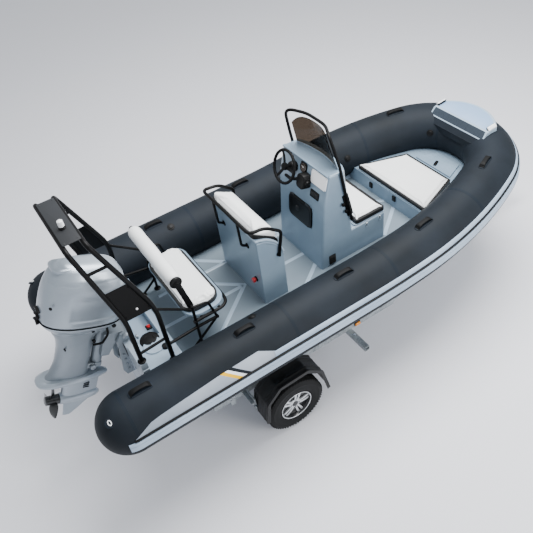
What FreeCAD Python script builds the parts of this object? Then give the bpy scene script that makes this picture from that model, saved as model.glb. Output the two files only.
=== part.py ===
import FreeCAD, Part
import math
import os
import re
from types import SimpleNamespace

from FreeCAD import Placement, Rotation, Vector

# A rigid inflatable boat with a centre console, on its road trailer.
# Millimetres. X runs forward from the aft ends of the tubes, Y to port, Z up from the ground.
# Every node is moved aft at the end, so that the origin lies under the middle of the whole.

SIZE_TABLE = """
boat_length       4700  from the aft ends of the tubes to the bow
beam              2092  over both tubes
tube_radius        242  outside of the air tube
tube_skin           18  thickness of the tube's wall
tube_height       1044  ground to the tube's centre line
bow_radius         600  centre line of the round at the bow
bow_flat            20  half of the straight across the bow
side_turn           22  degrees that each side turns before the bow round
sheer_angle        5.5  degrees that the bow rises
sheer_run          600  length over which the rise begins

deck_height        900  ground to the cockpit floor
deck_thick          15  floor panel
hull_wall           16  hull moulding
keel_height        480  ground to the keel at the transom
chine_height       660  ground to the chine at the transom
chine_half         560  centre to the chine at the transom
hull_edge          640  centre to the hull's upper edge, inside the tube's underside
panel_wall          12  wall of seats, console and lockers
transom_place      500  tube ends to the transom's aft face
transom_thick       55  transom board
transom_top       1070  ground to the motor's seat on the transom
transom_half       560  half width of the transom board
transom_rise        80  the board's shoulders above the motor's seat
well_half          200  half width of the motor well
well_run           230  motor well, fore and aft
well_floor         960  ground to the floor of the motor well
aft_deck_top      1060  ground to the aft deck
hatch_radius        85  round inspection hatch
hatch_place        690  tube ends to the inspection hatch
hatch_side         300  centre to the inspection hatch

bench_place       1000  tube ends to the bench's aft face
bench_depth        300  bench, fore and aft
bench_half         370  half width of the bench
bench_top         1270  ground to the underside of the bench cushion
bench_tray          22  tray under the bench cushion
aft_deck_run       290  aft deck, fore and aft
bench_pad           70  bench cushion
bolster_place      985  tube ends to the backrest roll
bolster_height    1665  ground to the backrest roll
bolster_radius      60  backrest roll
bolster_half       395  half length of the backrest roll
bolster_cap         14  end cap of the roll
backrest_pivot_x  1040  tube ends to the backrest's pivot
backrest_pivot_z  1390  ground to the backrest's pivot
arm_gap              6  backrest arm to the roll's end and to the bench frame
arm_thick           10  backrest arm
rail_radius         14  bent black rails

seat_place        1710  tube ends to the helm seat's aft face
seat_depth         235  helm seat box, fore and aft
seat_half          356  half width of the helm seat
seat_top          1628  ground to the helm seat's top at its aft edge
seat_mid          1578  ground to the helm seat's top half way forward
seat_fore         1400  ground to the helm seat's top at its fore edge
seat_pad            86  helm cushion
seat_rail_top     1745  ground to the rail behind the helm seat

console_place     2330  tube ends to the console's foot
console_mid_x     2395  tube ends to the foot of the dash
console_top_x     2462  tube ends to the top of the dash
console_top_fore  2640  tube ends to the fore edge of the console's top
console_half       332  half width of the console
console_top       1856  ground to the console's top
console_mid       1600  ground to the foot of the dash
console_seat_top  1190  ground to the forward seat's box
console_seat_end  3060  tube ends to the forward end of the forward seat
console_front     2685  tube ends to the foot of the console's front
lid_thick           14  seat lids and hatches
console_pad         90  forward seat cushion
gap                  6  running gap round doors and lids
door_half          180  half width of the console door
door_low          1250  ground to the door's lower edge
door_high         1490  ground to the door's upper edge
door_thick          12  console door
screen_top        2165  ground to the top of the windscreen
screen_half        290  half width of the windscreen
screen_thick         6  windscreen
helm_side          120  centre to the steering wheel, to port
helm_x            2325  tube ends to the steering wheel
helm_z            1795  ground to the steering wheel
helm_radius        141  steering wheel's rim
helm_grip           14  thickness radius of the rim
helm_rake           22  degrees that the steering wheel leans

locker_place      3400  tube ends to the bow locker's aft face
locker_top        1060  ground to the bow locker's top
bow_lid_end       3930  tube ends to the bow lid's hinge
bow_lid_aft        488  half width of the bow lid at its aft edge
bow_lid_fore       335  half width of the bow lid at its hinge
bow_pad             50  bow cushion
anchor_place      3972  tube ends to the anchor hatch's aft edge
anchor_end        4185  tube ends to the anchor hatch's hinge
anchor_aft         235  half width of the anchor hatch at its aft edge
anchor_fore        150  half width of the anchor hatch at its hinge
cavity_rim          35  ledge round each locker's mouth

nose_half          345  half width of the bow step
nose_aft          4215  tube ends to the aft edge of the bow step
nose_tread        4320  tube ends to the aft edge of the bow step's tread
nose_fore         4590  tube ends to the fore edge of the bow step
nose_thick          38  bow step above the tube

strake_proud        16  rubbing strake beyond the tube
handle_length      190  grab handle
handle_width        52  grab handle's foot
handle_rise         32  grab handle above the tube

arch_radius         19  arch tube
arch_foot_half     520  centre to the arch's feet
arch_top_half      348  centre to the arch's top corners
arch_rear_foot_z  1228  ground to the rear leg's foot
arch_fore_foot_z  1066  ground to the fore leg's foot
arch_bend_z       1600  ground to the bend of the arch's legs
arch_bend_half     452  half width of the arch at its legs' bend
arch_top_z        2285  ground to the arch's top
arch_rear_foot     528  tube ends to the rear leg's foot
arch_rear_bend     535  tube ends to the rear leg's bend
arch_rear_top      366  tube ends to the rear hoop's top
arch_fore_foot     760  tube ends to the fore leg's foot
arch_fore_bend     770  tube ends to the fore leg's bend
arch_fore_top      500  tube ends to the fore hoop's top
plate_thick          6  arch plates

pivot_x            545  tube ends to the motor's tilt axis
pivot_z           1125  ground to the motor's tilt axis
motor_tilt          25  degrees that the motor is raised
steer_back         175  tilt axis to the steering axis
clamp_half         115  half width of the clamp brackets
clamp_thick         22  each clamp bracket
cowl_low           205  tilt axis to the cowl's lower edge
cowl_high          690  tilt axis to the cowl's top
cowl_aft           680  tilt axis to the cowl's aft end
cowl_fore           45  tilt axis to the cowl's fore end
cowl_half          200  half width of the cowl
cowl_wall            6  cowl moulding
plate_drop         442  tilt axis to the plate over the propeller
shaft_drop         655  tilt axis to the propeller shaft
propeller_back     500  tilt axis to the propeller's middle
propeller_radius   165  propeller
hub_radius          44  propeller hub
skeg_drop          860  tilt axis to the skeg's tip

wheel_x           1527  tube ends to the road wheels
wheel_radius       280  road wheel with its tyre
tyre_width         165  tyre
wheel_side         915  centre to the middle of a tyre
rim_radius         153  rim
hub_face_radius     45  wheel hub
axle_x            1690  tube ends to the axle beam
axle_z             350  ground to the axle beam
axle_side           60  axle beam's square
rail_side          712  centre to a side rail
rail_width          45  side rail
rail_tall           80  side rail
rail_top           500  ground to the rails' top
rail_aft           900  tube ends to the rails' aft ends
rail_bend         2850  tube ends to the rails' bend
rail_meet         4250  tube ends to where the rails meet the drawbar
drawbar_aft       3950  tube ends to the drawbar's aft end
drawbar_end       5180  tube ends to the drawbar's fore end
drawbar_side        80  drawbar's square
arm_reach          960  centre to the open end of the side arms
arm_side            50  cross tubes and side arms
arm_x             2330  tube ends to the side arms' middle
rear_cross_x      1080  tube ends to the rear cross tube
fore_cross_x      3300  tube ends to the fore cross tube
guard_radius       345  mudguard's inside radius
guard_width        215  mudguard
guard_thick          5  mudguard
ball_radius         25  tow ball that the coupling takes
coupling_x        5260  tube ends to the ball's centre
coupling_z         372  ground to the ball's centre
jockey_x          4880  tube ends to the jockey wheel's leg
jockey_side         95  drawbar's middle to the jockey leg
jockey_radius      100  jockey wheel
jockey_width        60  jockey wheel
jockey_trail        55  jockey leg to the wheel's axle
jockey_sleeve       30  outer tube of the jockey leg
jockey_inner        22  inner tube of the jockey leg
post_x            4700  tube ends to the winch post's foot
post_top           950  ground to the winch post's top
"""

os.makedirs("parts", exist_ok=True)
doc = FreeCAD.newDocument("rib_boat")
sheet = doc.addObject("Spreadsheet::Sheet", "Sizes")
names = []
for row, line in enumerate((text for text in SIZE_TABLE.splitlines() if text.strip()), start=1):
    alias, value, note = line.split(maxsplit=2)
    sheet.set(f"A{row}", note)
    sheet.set(f"B{row}", value)
    sheet.setAlias(f"B{row}", alias)
    names.append(alias)
doc.recompute()
size = SimpleNamespace(**{alias: float(sheet.get(alias)) for alias in names})

nodes = []
ALONG = {"x": Rotation(Vector(0, 1, 0), 90), "y": Rotation(Vector(1, 0, 0), -90), "z": Rotation()}


# ---- helpers -------------------------------------------------------------------------------

def formula(text):
    """Turn plain names into the sheet's aliases."""
    return re.sub(r"[a-z_]+[a-z_0-9]*", lambda word: "Sizes." + word.group(0), str(text))


def bind(item, **sizes):
    for name, text in sizes.items():
        item.setExpression(name.replace("base_", ".Placement.Base."), formula(text))
    return item


def node(item, label):
    """Mark a document object as one of the named nodes."""
    item.Label = label
    nodes.append(item)
    return item


def box(name, x, y, z, length, width, height):
    """A box from its aft, starboard, bottom corner, all bound to the sheet."""
    item = doc.addObject("Part::Box", name)
    return bind(item, Length=length, Width=width, Height=height, base_x=x, base_y=y, base_z=z)


def rod(name, along, x, y, z, radius, length):
    """A cylinder that starts at a point and runs along an axis, bound to the sheet."""
    item = doc.addObject("Part::Cylinder", name)
    item.Placement = Placement(Vector(), ALONG[along])
    return bind(item, Radius=radius, Height=length, base_x=x, base_y=y, base_z=z)


def fuse(name, pieces):
    item = doc.addObject("Part::MultiFuse", name)
    item.Shapes = pieces
    return item


def group(name, pieces):
    """Several solids that don't touch, in one node."""
    item = doc.addObject("Part::Compound", name)
    item.Links = pieces
    return item


def cut(name, base, tool):
    item = doc.addObject("Part::Cut", name)
    item.Base = base
    item.Tool = tool
    return item


def rounded(name, base, radius, picks=None):
    """Round edges of a base; picks chooses them by their direction and place."""
    doc.recompute()
    item = doc.addObject("Part::Fillet", name)
    item.Base = base
    edges = [number for number, edge in enumerate(base.Shape.Edges, start=1)
             if picks is None or picks(edge)]
    item.Edges = [(number, radius, radius) for number in edges]
    return item


def feature(name, shape):
    item = doc.addObject("Part::Feature", name)
    item.Shape = shape
    return item


def upright(edge):
    """True for an edge that runs along Z."""
    return abs(edge.tangentAt(edge.FirstParameter).z) > 0.99


def shape_box(x0, x1, y0, y1, z0, z1):
    return Part.makeBox(x1 - x0, y1 - y0, z1 - z0, Vector(x0, y0, z0))


def profile_solid(points, half):
    """Extrude a side profile of (x, z) points across the centre line."""
    corners = [Vector(x, -half, z) for x, z in points]
    return Part.Face(Part.makePolygon(corners + corners[:1])).extrude(Vector(0, 2 * half, 0))


def plan_solid(points, z0, z1):
    """Extrude a plan outline of (x, y) points upward."""
    corners = [Vector(x, y, z0) for x, y in points]
    return Part.Face(Part.makePolygon(corners + corners[:1])).extrude(Vector(0, 0, z1 - z0))


def trapezium(x0, half0, x1, half1):
    return [(x0, -half0), (x1, -half1), (x1, half1), (x0, half0)]


def mirrored(shape):
    return shape.mirror(Vector(), Vector(0, 1, 0))


def swept(section, moves):
    """Carry a flat section along straight and turning moves, and join what it sweeps."""
    solids = []
    for move in moves:
        if len(move) == 1:
            solids.append(section.extrude(move[0]))
            section = section.translated(move[0])
        else:
            centre, axis, degrees = move
            solids.append(section.revolve(centre, axis, degrees))
            section = section.rotated(centre, axis, degrees)
    return joined(solids)


def disc(centre, direction, radius):
    return Part.Face(Part.Wire(Part.makeCircle(radius, centre, direction)))


def bent_tube(points, radius, bend):
    """A round bar along a polyline whose inner corners are rounded."""
    points = [Vector(*point) for point in points]
    moves = []
    start = points[0]
    for before, corner, after in zip(points, points[1:], points[2:]):
        into = (corner - before).normalize()
        out = (after - corner).normalize()
        turn = into.getAngle(out)
        first = corner - into * (bend * math.tan(turn / 2))
        axis = into.cross(out).normalize()
        moves.append((first - start,))
        moves.append((first + axis.cross(into) * bend, axis, math.degrees(turn)))
        start = corner + out * (bend * math.tan(turn / 2))
    moves.append((points[-1] - start,))
    return swept(disc(points[0], points[1] - points[0], radius), moves)


def bar(start, end, radius):
    """A straight round bar between two points."""
    start = Vector(*start)
    span = Vector(*end) - start
    return Part.makeCylinder(radius, span.Length, start, span)


def joined(shapes):
    """Fuse shapes that touch into one."""
    return shapes[0].multiFuse(list(shapes[1:])).removeSplitter()


# ---- air tube ------------------------------------------------------------------------------

tube_y = size.beam / 2 - size.tube_radius
turn = math.radians(size.side_turn)
rise = math.radians(size.sheer_angle)
side_radius = (tube_y - size.bow_flat - size.bow_radius * math.cos(turn)) / (1 - math.cos(turn))
bow_run = side_radius * math.sin(turn) + size.bow_radius * (1 - math.sin(turn))
turn_x = size.boat_length - size.tube_radius - bow_run * math.cos(rise)
sheer_radius = size.sheer_run / math.sin(rise)
turn_z = size.tube_height + sheer_radius * (1 - math.cos(rise))


def bow_point(run, side):
    """A point of the rising bow plane, by its run forward of the turn and its side."""
    return Vector(turn_x + run * math.cos(rise), side, turn_z + run * math.sin(rise))


def side_arc(angle, radius=side_radius, run=0.0, side=None):
    """A point on an arc that turns in towards the bow."""
    centre = tube_y - side_radius if side is None else side
    return bow_point(run + radius * math.sin(angle), centre + radius * math.cos(angle))


bow_normal = Vector(-math.sin(rise), 0, math.cos(rise))
bow_turn = 90 - size.side_turn
straight = Vector(turn_x - size.sheer_run - size.tube_radius, 0, 0)


def tube_moves():
    """The tube's centre line, from the port aft end round the bow to the starboard aft end."""
    sheer_centre = Vector(turn_x - size.sheer_run, tube_y, size.tube_height + sheer_radius)
    side_centre = bow_point(0, tube_y - side_radius)
    bow_centre = bow_point(bow_run - size.bow_radius, size.bow_flat)
    other = [Vector(point.x, -point.y, point.z) for point in (sheer_centre, side_centre, bow_centre)]
    return [(straight,),
            (sheer_centre, Vector(0, -1, 0), size.sheer_angle),
            (side_centre, -bow_normal, size.side_turn),
            (bow_centre, -bow_normal, bow_turn),
            (Vector(0, -2 * size.bow_flat, 0),),
            (other[2], -bow_normal, bow_turn),
            (other[1], -bow_normal, size.side_turn),
            (other[0], Vector(0, 1, 0), size.sheer_angle),
            (-straight,)]


def tube_solid(radius):
    start = Vector(size.tube_radius, tube_y, size.tube_height)
    ends = [Part.makeSphere(radius, Vector(size.tube_radius, side, size.tube_height))
            for side in (-tube_y, tube_y)]
    return joined([swept(disc(start, Vector(1, 0, 0), radius), tube_moves())] + ends)


def tube_break(point, degrees):
    """A thin gap across the tube at a point of its port centre line, where two panels meet."""
    angle = math.radians(degrees)
    along = Vector(math.cos(angle) * math.cos(rise), -math.sin(angle), math.cos(angle) * math.sin(rise))
    across = Part.Face(Part.Wire(Part.makeCircle(size.tube_radius + 40, point - along * 0.15, along)))
    return across.extrude(along * 0.3)


# The collar is glued up from panels that meet at seams; each panel is a solid of its own.
SIDE_PANELS = 4
BOW_PANELS = 5
breaks = [Part.Face(Part.Wire(Part.makeCircle(size.tube_radius + 40, Vector(x, tube_y, size.tube_height),
                                              Vector(1, 0, 0)))).extrude(Vector(0.3, 0, 0))
          for x in (size.tube_radius + 8, turn_x - size.sheer_run)]
breaks += [tube_break(side_arc(math.radians(size.side_turn) * number / SIDE_PANELS),
                      size.side_turn * number / SIDE_PANELS) for number in range(SIDE_PANELS + 1)]
for number in range(1, BOW_PANELS):
    degrees = size.side_turn + bow_turn * number / BOW_PANELS
    angle = math.radians(degrees)
    breaks.append(tube_break(bow_point(bow_run - size.bow_radius + size.bow_radius * math.sin(angle),
                                       size.bow_flat + size.bow_radius * math.cos(angle)), degrees))
breaks += [gap_.mirror(Vector(), Vector(0, 1, 0)) for gap_ in breaks]
tube_outer = tube_solid(size.tube_radius)
node(feature("TubeCollar", tube_outer.cut(tube_solid(size.tube_radius - size.tube_skin)).cut(breaks)),
     "tube_collar")


def tube_place(x, side=1):
    """The placement on the tube's centre line abreast of x: its X runs along the tube."""
    if x <= turn_x:
        return Placement(Vector(x, side * tube_y, size.tube_height), Rotation())
    angle = math.asin((x - turn_x) / math.cos(rise) / side_radius)
    place = side_arc(angle)
    place.y *= side
    heading = Rotation(Vector(0, 1, 0), -size.sheer_angle)
    return Placement(place, heading * Rotation(Vector(0, 0, 1), -side * math.degrees(angle)))


# ---- hull and decks ------------------------------------------------------------------------

# x, keel z, chine half width, chine z, upper half width, upper z
HULL_SECTIONS = (
    (size.transom_place, size.keel_height, size.chine_half, size.chine_height,
     size.hull_edge, size.deck_height),
    (2700, size.keel_height, size.chine_half, size.chine_height, size.hull_edge, size.deck_height),
    (3600, size.keel_height + 30, 460, 735, 620, 930),
    (4150, size.keel_height + 150, 270, 850, 400, 1015),
    (4440, 890, 45, 960, 75, 1020),
)


def keel_at(x):
    """Ground to the keel, between the hull's sections."""
    for (x0, z0), (x1, z1) in zip([s[:2] for s in HULL_SECTIONS], [s[:2] for s in HULL_SECTIONS[1:]]):
        if x0 <= x <= x1:
            return z0 + (z1 - z0) * (x - x0) / (x1 - x0)
    return size.deck_height


def hull_loft(inset, top, aft):
    """The hull's outline, moved in by a wall; top is how far it runs above the upper edge."""
    wires = []
    for number, (x, keel, chine, chine_z, edge, edge_z) in enumerate(HULL_SECTIONS):
        x = x + aft if number == 0 else x - inset if number == len(HULL_SECTIONS) - 1 else x
        side = [(chine - inset, chine_z + inset / 2), (edge - inset, edge_z),
                (edge - inset, edge_z + top)]
        outline = [(0, keel + inset)] + side + [(-y, z) for y, z in reversed(side)]
        corners = [Vector(x, y, z) for y, z in outline]
        wires.append(Part.makePolygon(corners + corners[:1]))
    return Part.makeLoft(wires, True, True)


hull_outer = hull_loft(0, 1, 0)
hull_room = hull_loft(size.hull_wall, 300, size.transom_thick)
node(feature("Hull", hull_outer.cut(hull_room).cut(tube_outer)), "hull")


def between_tubes(x0, x1, z0, z1):
    """What fills the space inside the hull and between the tubes."""
    return shape_box(x0, x1, -size.beam / 2, size.beam / 2, z0, z1).common(hull_room).cut(tube_outer)


deck_aft = size.transom_place + size.transom_thick
node(feature("Deck", between_tubes(deck_aft, 4100, size.deck_height - size.deck_thick,
                                   size.deck_height)), "deck")

shoulder = size.transom_top + size.transom_rise
board = [(-size.transom_half, size.deck_height + 1), (size.transom_half, size.deck_height + 1),
         (size.transom_half, shoulder), (size.well_half + 60, shoulder),
         (size.well_half, size.transom_top), (-size.well_half, size.transom_top),
         (-size.well_half - 60, shoulder), (-size.transom_half, shoulder)]
corners = [Vector(size.transom_place, y, z) for y, z in board]
transom = Part.Face(Part.makePolygon(corners + corners[:1])).extrude(Vector(size.transom_thick, 0, 0))
# The arch's rear feet stand on a block at each end of the board.
foot_blocks = [shape_box(size.transom_place, deck_aft, side * size.arch_foot_half - 32,
                         side * size.arch_foot_half + 32, shoulder, size.arch_rear_foot_z - 6)
               for side in (-1, 1)]
node(feature("Transom", joined([transom] + foot_blocks).cut(tube_outer)), "transom")

# The aft deck is a shell with the motor well sunk into it.
wall = size.panel_wall
well = shape_box(deck_aft - 1, deck_aft + size.well_run, -size.well_half, size.well_half,
                 size.well_floor, size.aft_deck_top + 1)
well_jacket = shape_box(deck_aft - 1, deck_aft + size.well_run + wall, -size.well_half - wall,
                        size.well_half + wall, size.well_floor - wall, size.aft_deck_top + 1)
aft_deck_fore = deck_aft + size.aft_deck_run
shell = between_tubes(deck_aft, aft_deck_fore, size.deck_height, size.aft_deck_top)
room = shape_box(deck_aft + wall, aft_deck_fore - wall, -size.hull_edge + 90,
                 size.hull_edge - 90, size.deck_height - 1, size.aft_deck_top - wall)
# The well is bonded in: a joint runs down each side of it and across its fore wall.
WELL_JOINT = 0.3
well_fore = deck_aft + size.well_run
joint_low, joint_high = size.deck_height - 1, size.aft_deck_top + 1
well_joints = [shape_box(deck_aft - 1, aft_deck_fore + 1, size.well_half, size.well_half + WELL_JOINT,
                         joint_low, joint_high),
               shape_box(deck_aft - 1, aft_deck_fore + 1, -size.well_half - WELL_JOINT, -size.well_half,
                         joint_low, joint_high),
               shape_box(well_fore, well_fore + WELL_JOINT, -size.well_half, size.well_half,
                         joint_low, joint_high)]
aft_moulding = shell.cut(room.cut(well_jacket)).cut(well).cut(well_joints)
deck_moulding = feature("AftDeckMoulding", aft_moulding)
hatch = rod("Hatch", "z", "hatch_place", "-hatch_side", "aft_deck_top + 0.3", "hatch_radius", "10")
knob = rod("HatchKnob", "z", "hatch_place", "-hatch_side", "aft_deck_top + 10", "20", "12")
node(group("AftDeck", [deck_moulding, fuse("InspectionHatch", [hatch, knob])]), "aft_deck")


# ---- bench ---------------------------------------------------------------------------------

def moulding(name, x, half, z, length, top):
    """A box moulding that is open below, where it stands on the floor."""
    outer = box(name + "Outer", x, f"-({half})", z, length, f"2 * ({half})", f"{top} - ({z})")
    inner = box(name + "Inner", f"{x} + panel_wall", f"panel_wall - ({half})", z,
                f"{length} - 2 * panel_wall", f"2 * ({half}) - 2 * panel_wall",
                f"{top} - ({z}) - panel_wall")
    body = rounded(name + "Round", outer, 18, upright)
    return cut(name, body, inner)


pad = box("BenchPad", "bench_place + 4", "-bench_half", "bench_top", "bench_depth + 6",
          "2 * bench_half", "bench_pad")
pad = rounded("BenchPadCorners", pad, 80, upright)
node(rounded("BenchCushion", pad, 18), "bench_cushion")
tray = shape_box(size.bench_place + 10, size.bench_place + size.bench_depth + 20,
                 -size.bench_half - 8, size.bench_half + 8,
                 size.bench_top - size.bench_tray - 2, size.bench_top - 0.3)
tray = tray.makeFillet(80, [edge for edge in tray.Edges if upright(edge)])

roll = rod("Roll", "y", "bolster_place", "-bolster_half", "bolster_height", "bolster_radius",
           "2 * bolster_half")
node(rounded("BackrestRoll", roll, 12), "backrest_roll")
arm_y = size.bolster_half + size.bolster_cap
arms = []
for side in (-1, 1):
    y0 = side * size.bolster_half
    cap = Part.makeCylinder(size.bolster_radius, size.bolster_cap,
                            Vector(size.bolster_place, y0, size.bolster_height), Vector(0, side, 0))
    ends = [Vector(size.bolster_place, side * arm_y, size.bolster_height),
            Vector(size.backrest_pivot_x, side * arm_y, size.backrest_pivot_z)]
    along = (ends[1] - ends[0]).normalize()
    across = along.cross(Vector(0, 1, 0)) * 20
    outline = [ends[0] - across, ends[1] - across, ends[1] + across, ends[0] + across]
    arm = Part.Face(Part.makePolygon(outline + outline[:1])).extrude(Vector(0, side * size.arm_thick, 0))
    tips = [Part.makeCylinder(20, size.arm_thick, end, Vector(0, side, 0)) for end in ends]
    arms.append(joined([cap, arm] + tips))
node(feature("BackrestArms", Part.Compound(arms)), "backrest_arms")

# The bench frame: a loop round the tray, and on each side a rail from the arch's foot, a post
# with the backrest's pivot, a bow over the cushion's end, a stay and a link to the arch.
frame_y = arm_y + size.arm_thick + size.arm_gap + size.rail_radius
tray_z = size.bench_top - size.bench_tray - size.rail_radius - 0.3
loop_fore = size.bench_place + size.bench_depth + 50
rail_low = 1165
rail_fore = size.bench_place + 220
post_x = size.backrest_pivot_x
frame_bars = [tray, bent_tube([(post_x - 20, -frame_y, tray_z), (loop_fore, -frame_y, tray_z),
                               (loop_fore, frame_y, tray_z), (post_x - 20, frame_y, tray_z)],
                              size.rail_radius, 110)]
for x in (post_x + 60, rail_fore + 40):
    frame_bars.append(bar((x, -frame_y, tray_z + 3), (x, frame_y, tray_z + 3), size.rail_radius - 2.5))
for side in (-1, 1):
    y = side * frame_y
    rail_aft = (size.arch_fore_foot - 12, side * (size.arch_foot_half - 47), 1190)
    corner = (rail_fore, y, rail_low)
    top_end = (post_x, y, size.backrest_pivot_z + 12)
    frame_bars += [
        bar(rail_aft, (post_x, y, rail_low), size.rail_radius - 1),
        bar((post_x, y, rail_low), corner, size.rail_radius - 1),
        bar(top_end, (post_x, y, size.deck_height + 8), size.rail_radius - 2),
        bent_tube([(post_x - 8, y, size.backrest_pivot_z), (post_x + 130, y, size.backrest_pivot_z - 20),
                   corner], size.rail_radius - 3, 50),
        bar(corner, (900, y, size.deck_height + 8), size.rail_radius - 4),
        Part.makeSphere(size.rail_radius + 2, Vector(*corner)),
        Part.makeSphere(size.rail_radius + 2, Vector(post_x, y, rail_low)),
        Part.makeCylinder(30, 9, Vector(900, y, size.deck_height + 0.3)),
        Part.makeCylinder(30, 9, Vector(post_x, y, size.deck_height + 0.3)),
        Part.makeCylinder(8, size.arm_gap + size.rail_radius - 0.3,
                          Vector(post_x, y, size.backrest_pivot_z), Vector(0, -side, 0))]
bench_frame = joined(frame_bars)
node(feature("BenchFrame", bench_frame), "bench_frame")


# ---- helm seat -----------------------------------------------------------------------------

seat_end = size.seat_place + size.seat_depth


def seat_profile(inset, low):
    """The seat's side profile: its top is an arc that falls forward."""
    aft = size.seat_place + inset
    fore = seat_end - inset
    middle = (aft + fore) / 2 + 5
    arc = Part.Arc(Vector(aft, 0, size.seat_top - inset), Vector(middle, 0, size.seat_mid - inset),
                   Vector(fore, 0, size.seat_fore - inset)).toShape()
    return Part.Face(Part.Wire([Part.makeLine(Vector(aft, 0, low), Vector(aft, 0, size.seat_top - inset)),
                                arc,
                                Part.makeLine(Vector(fore, 0, size.seat_fore - inset), Vector(fore, 0, low)),
                                Part.makeLine(Vector(fore, 0, low), Vector(aft, 0, low))]))


def spread(face, half):
    """Extrude a side profile across the centre line."""
    return face.translated(Vector(0, -half, 0)).extrude(Vector(0, 2 * half, 0))


seat_solid = spread(seat_profile(0, size.deck_height), size.seat_half)
seat_room = spread(seat_profile(wall, size.deck_height - 1), size.seat_half - wall)
node(feature("HelmSeatBox", seat_solid.cut(seat_room)), "helm_seat_box")
pad_top = size.seat_top + size.seat_pad
pad_face = Part.Face(Part.Wire([
    Part.makeLine(Vector(size.seat_place - 4, 0, size.seat_top - 20),
                  Vector(size.seat_place - 4, 0, pad_top)),
    Part.Arc(Vector(size.seat_place - 4, 0, pad_top), Vector(1835, 0, 1686),
             Vector(seat_end - 18, 0, 1580)).toShape(),
    Part.makeLine(Vector(seat_end - 18, 0, 1580), Vector(seat_end - 18, 0, size.seat_fore)),
    Part.makeLine(Vector(seat_end - 18, 0, size.seat_fore),
                  Vector(size.seat_place - 4, 0, size.seat_top - 20))]))
pad = spread(pad_face, size.seat_half - 14)
pad = pad.makeFillet(14, [edge for edge in pad.Edges if edge.BoundBox.ZMax > pad_top - 1])
below = spread(seat_profile(-0.3, size.deck_height), size.seat_half)
behind = shape_box(size.seat_place - 30, size.seat_place + 0.1, -400, 400, size.seat_top - 60,
                   size.seat_top + 0.3)
node(feature("HelmCushion", pad.cut(below).cut(behind)), "helm_cushion")

rail_y = size.seat_half + size.rail_radius
fore_x = seat_end - 10
back_x = size.seat_place - 60
hoop = bent_tube([(fore_x - 40, -rail_y, 1370), (fore_x, -rail_y, 1600),
                  (back_x, -rail_y, size.seat_rail_top), (back_x, rail_y, size.seat_rail_top),
                  (fore_x, rail_y, 1600), (fore_x - 40, rail_y, 1370)], size.rail_radius, 55)
legs = []
for side in (-1, 1):
    y = side * 190
    legs.append(bent_tube([(back_x, y, size.seat_rail_top), (back_x + 8, y, 1500),
                           (size.seat_place, y, 1465)], size.rail_radius - 3, 30))
seat_skin = spread(seat_profile(-0.3, size.deck_height), size.seat_half + 0.3)
node(feature("HelmSeatRail", joined([hoop] + legs).cut(seat_skin)), "helm_seat_rail")


# ---- console -------------------------------------------------------------------------------

side_view = [(size.console_place, size.deck_height), (size.console_mid_x, size.console_mid),
             (size.console_top_x, size.console_top), (size.console_top_fore, size.console_top - 8),
             (size.console_front, size.console_seat_top), (size.console_seat_end, size.console_seat_top),
             (size.console_seat_end, size.deck_height)]
inside_view = [(size.console_place + wall, size.deck_height - 1),
               (size.console_mid_x + wall, size.console_mid),
               (size.console_top_x + wall, size.console_top - wall),
               (size.console_top_fore - wall, size.console_top - 8 - wall),
               (size.console_front - wall, size.console_seat_top - wall),
               (size.console_seat_end - wall, size.console_seat_top - wall),
               (size.console_seat_end - wall, size.deck_height - 1)]
outer = profile_solid(side_view, size.console_half)
outer = outer.makeFillet(22, [edge for edge in outer.Edges
                              if abs(edge.tangentAt(edge.FirstParameter).y) < 0.01
                              and abs(edge.BoundBox.Center.z - size.deck_height) > 5])
inner = profile_solid(inside_view, size.console_half - wall)
seat_mouth = shape_box(size.console_front + 45, size.console_seat_end - 50, -size.console_half + 60,
                       size.console_half - 60, size.console_seat_top - 50,
                       size.console_seat_top + 10)
door_lap = 14
door_mouth = shape_box(size.console_place - 10, size.console_place + 115, door_lap - size.door_half,
                       size.door_half - door_lap, size.door_low + door_lap,
                       size.door_high - door_lap)
node(feature("Console", outer.cut(inner).cut(seat_mouth).cut(door_mouth)), "console")

# The door lies on the aft face, which leans forward a little as it rises.
lean = math.atan2(size.console_mid_x - size.console_place, size.console_mid - size.deck_height)
door_foot = size.console_place + (size.door_low - size.deck_height) * math.tan(lean)
seat_gap = 0.4
door_out = -size.door_thick - seat_gap
panel = shape_box(door_out, -seat_gap, -size.door_half, size.door_half, 0,
                  (size.door_high - size.door_low) / math.cos(lean))
pull = Part.makeCylinder(18, 12, Vector(door_out + 1, -70, 125), Vector(-1, 0, 0))
door = joined([panel, pull])
door.Placement = Placement(Vector(door_foot, 0, size.door_low),
                           Rotation(Vector(0, 1, 0), math.degrees(lean)))
node(feature("ConsoleDoor", door), "console_door")

lid = box("SeatLidPanel", "console_front + 35", "-console_half + 12", "console_seat_top + 0.4",
          "console_seat_end - console_front - 37", "2 * console_half - 24", "lid_thick")
node(rounded("ConsoleSeatLid", lid, 25, upright), "console_seat_lid")
pad = box("SeatLidPad", "console_front + 37", "-console_half + 14",
          "console_seat_top + 0.7 + lid_thick", "console_seat_end - console_front - 41",
          "2 * console_half - 28", "console_pad")
node(rounded("ConsoleCushion", pad, 24), "console_cushion")

# The windscreen leans aft over the console's top; its rail stands on the console's front.
def screen_edge(x, z, half, bow):
    """The closed outline of the windscreen at one height, bowed forward in the middle."""
    aft = [Vector(x, -half, z), Vector(x + bow, 0, z), Vector(x, half, z)]
    fore = [point + Vector(size.screen_thick, 0, 0) for point in aft]
    return Part.Wire([Part.Arc(*aft).toShape(), Part.makeLine(aft[2], fore[2]),
                      Part.Arc(*reversed(fore)).toShape(), Part.makeLine(fore[0], aft[0])])


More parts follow.
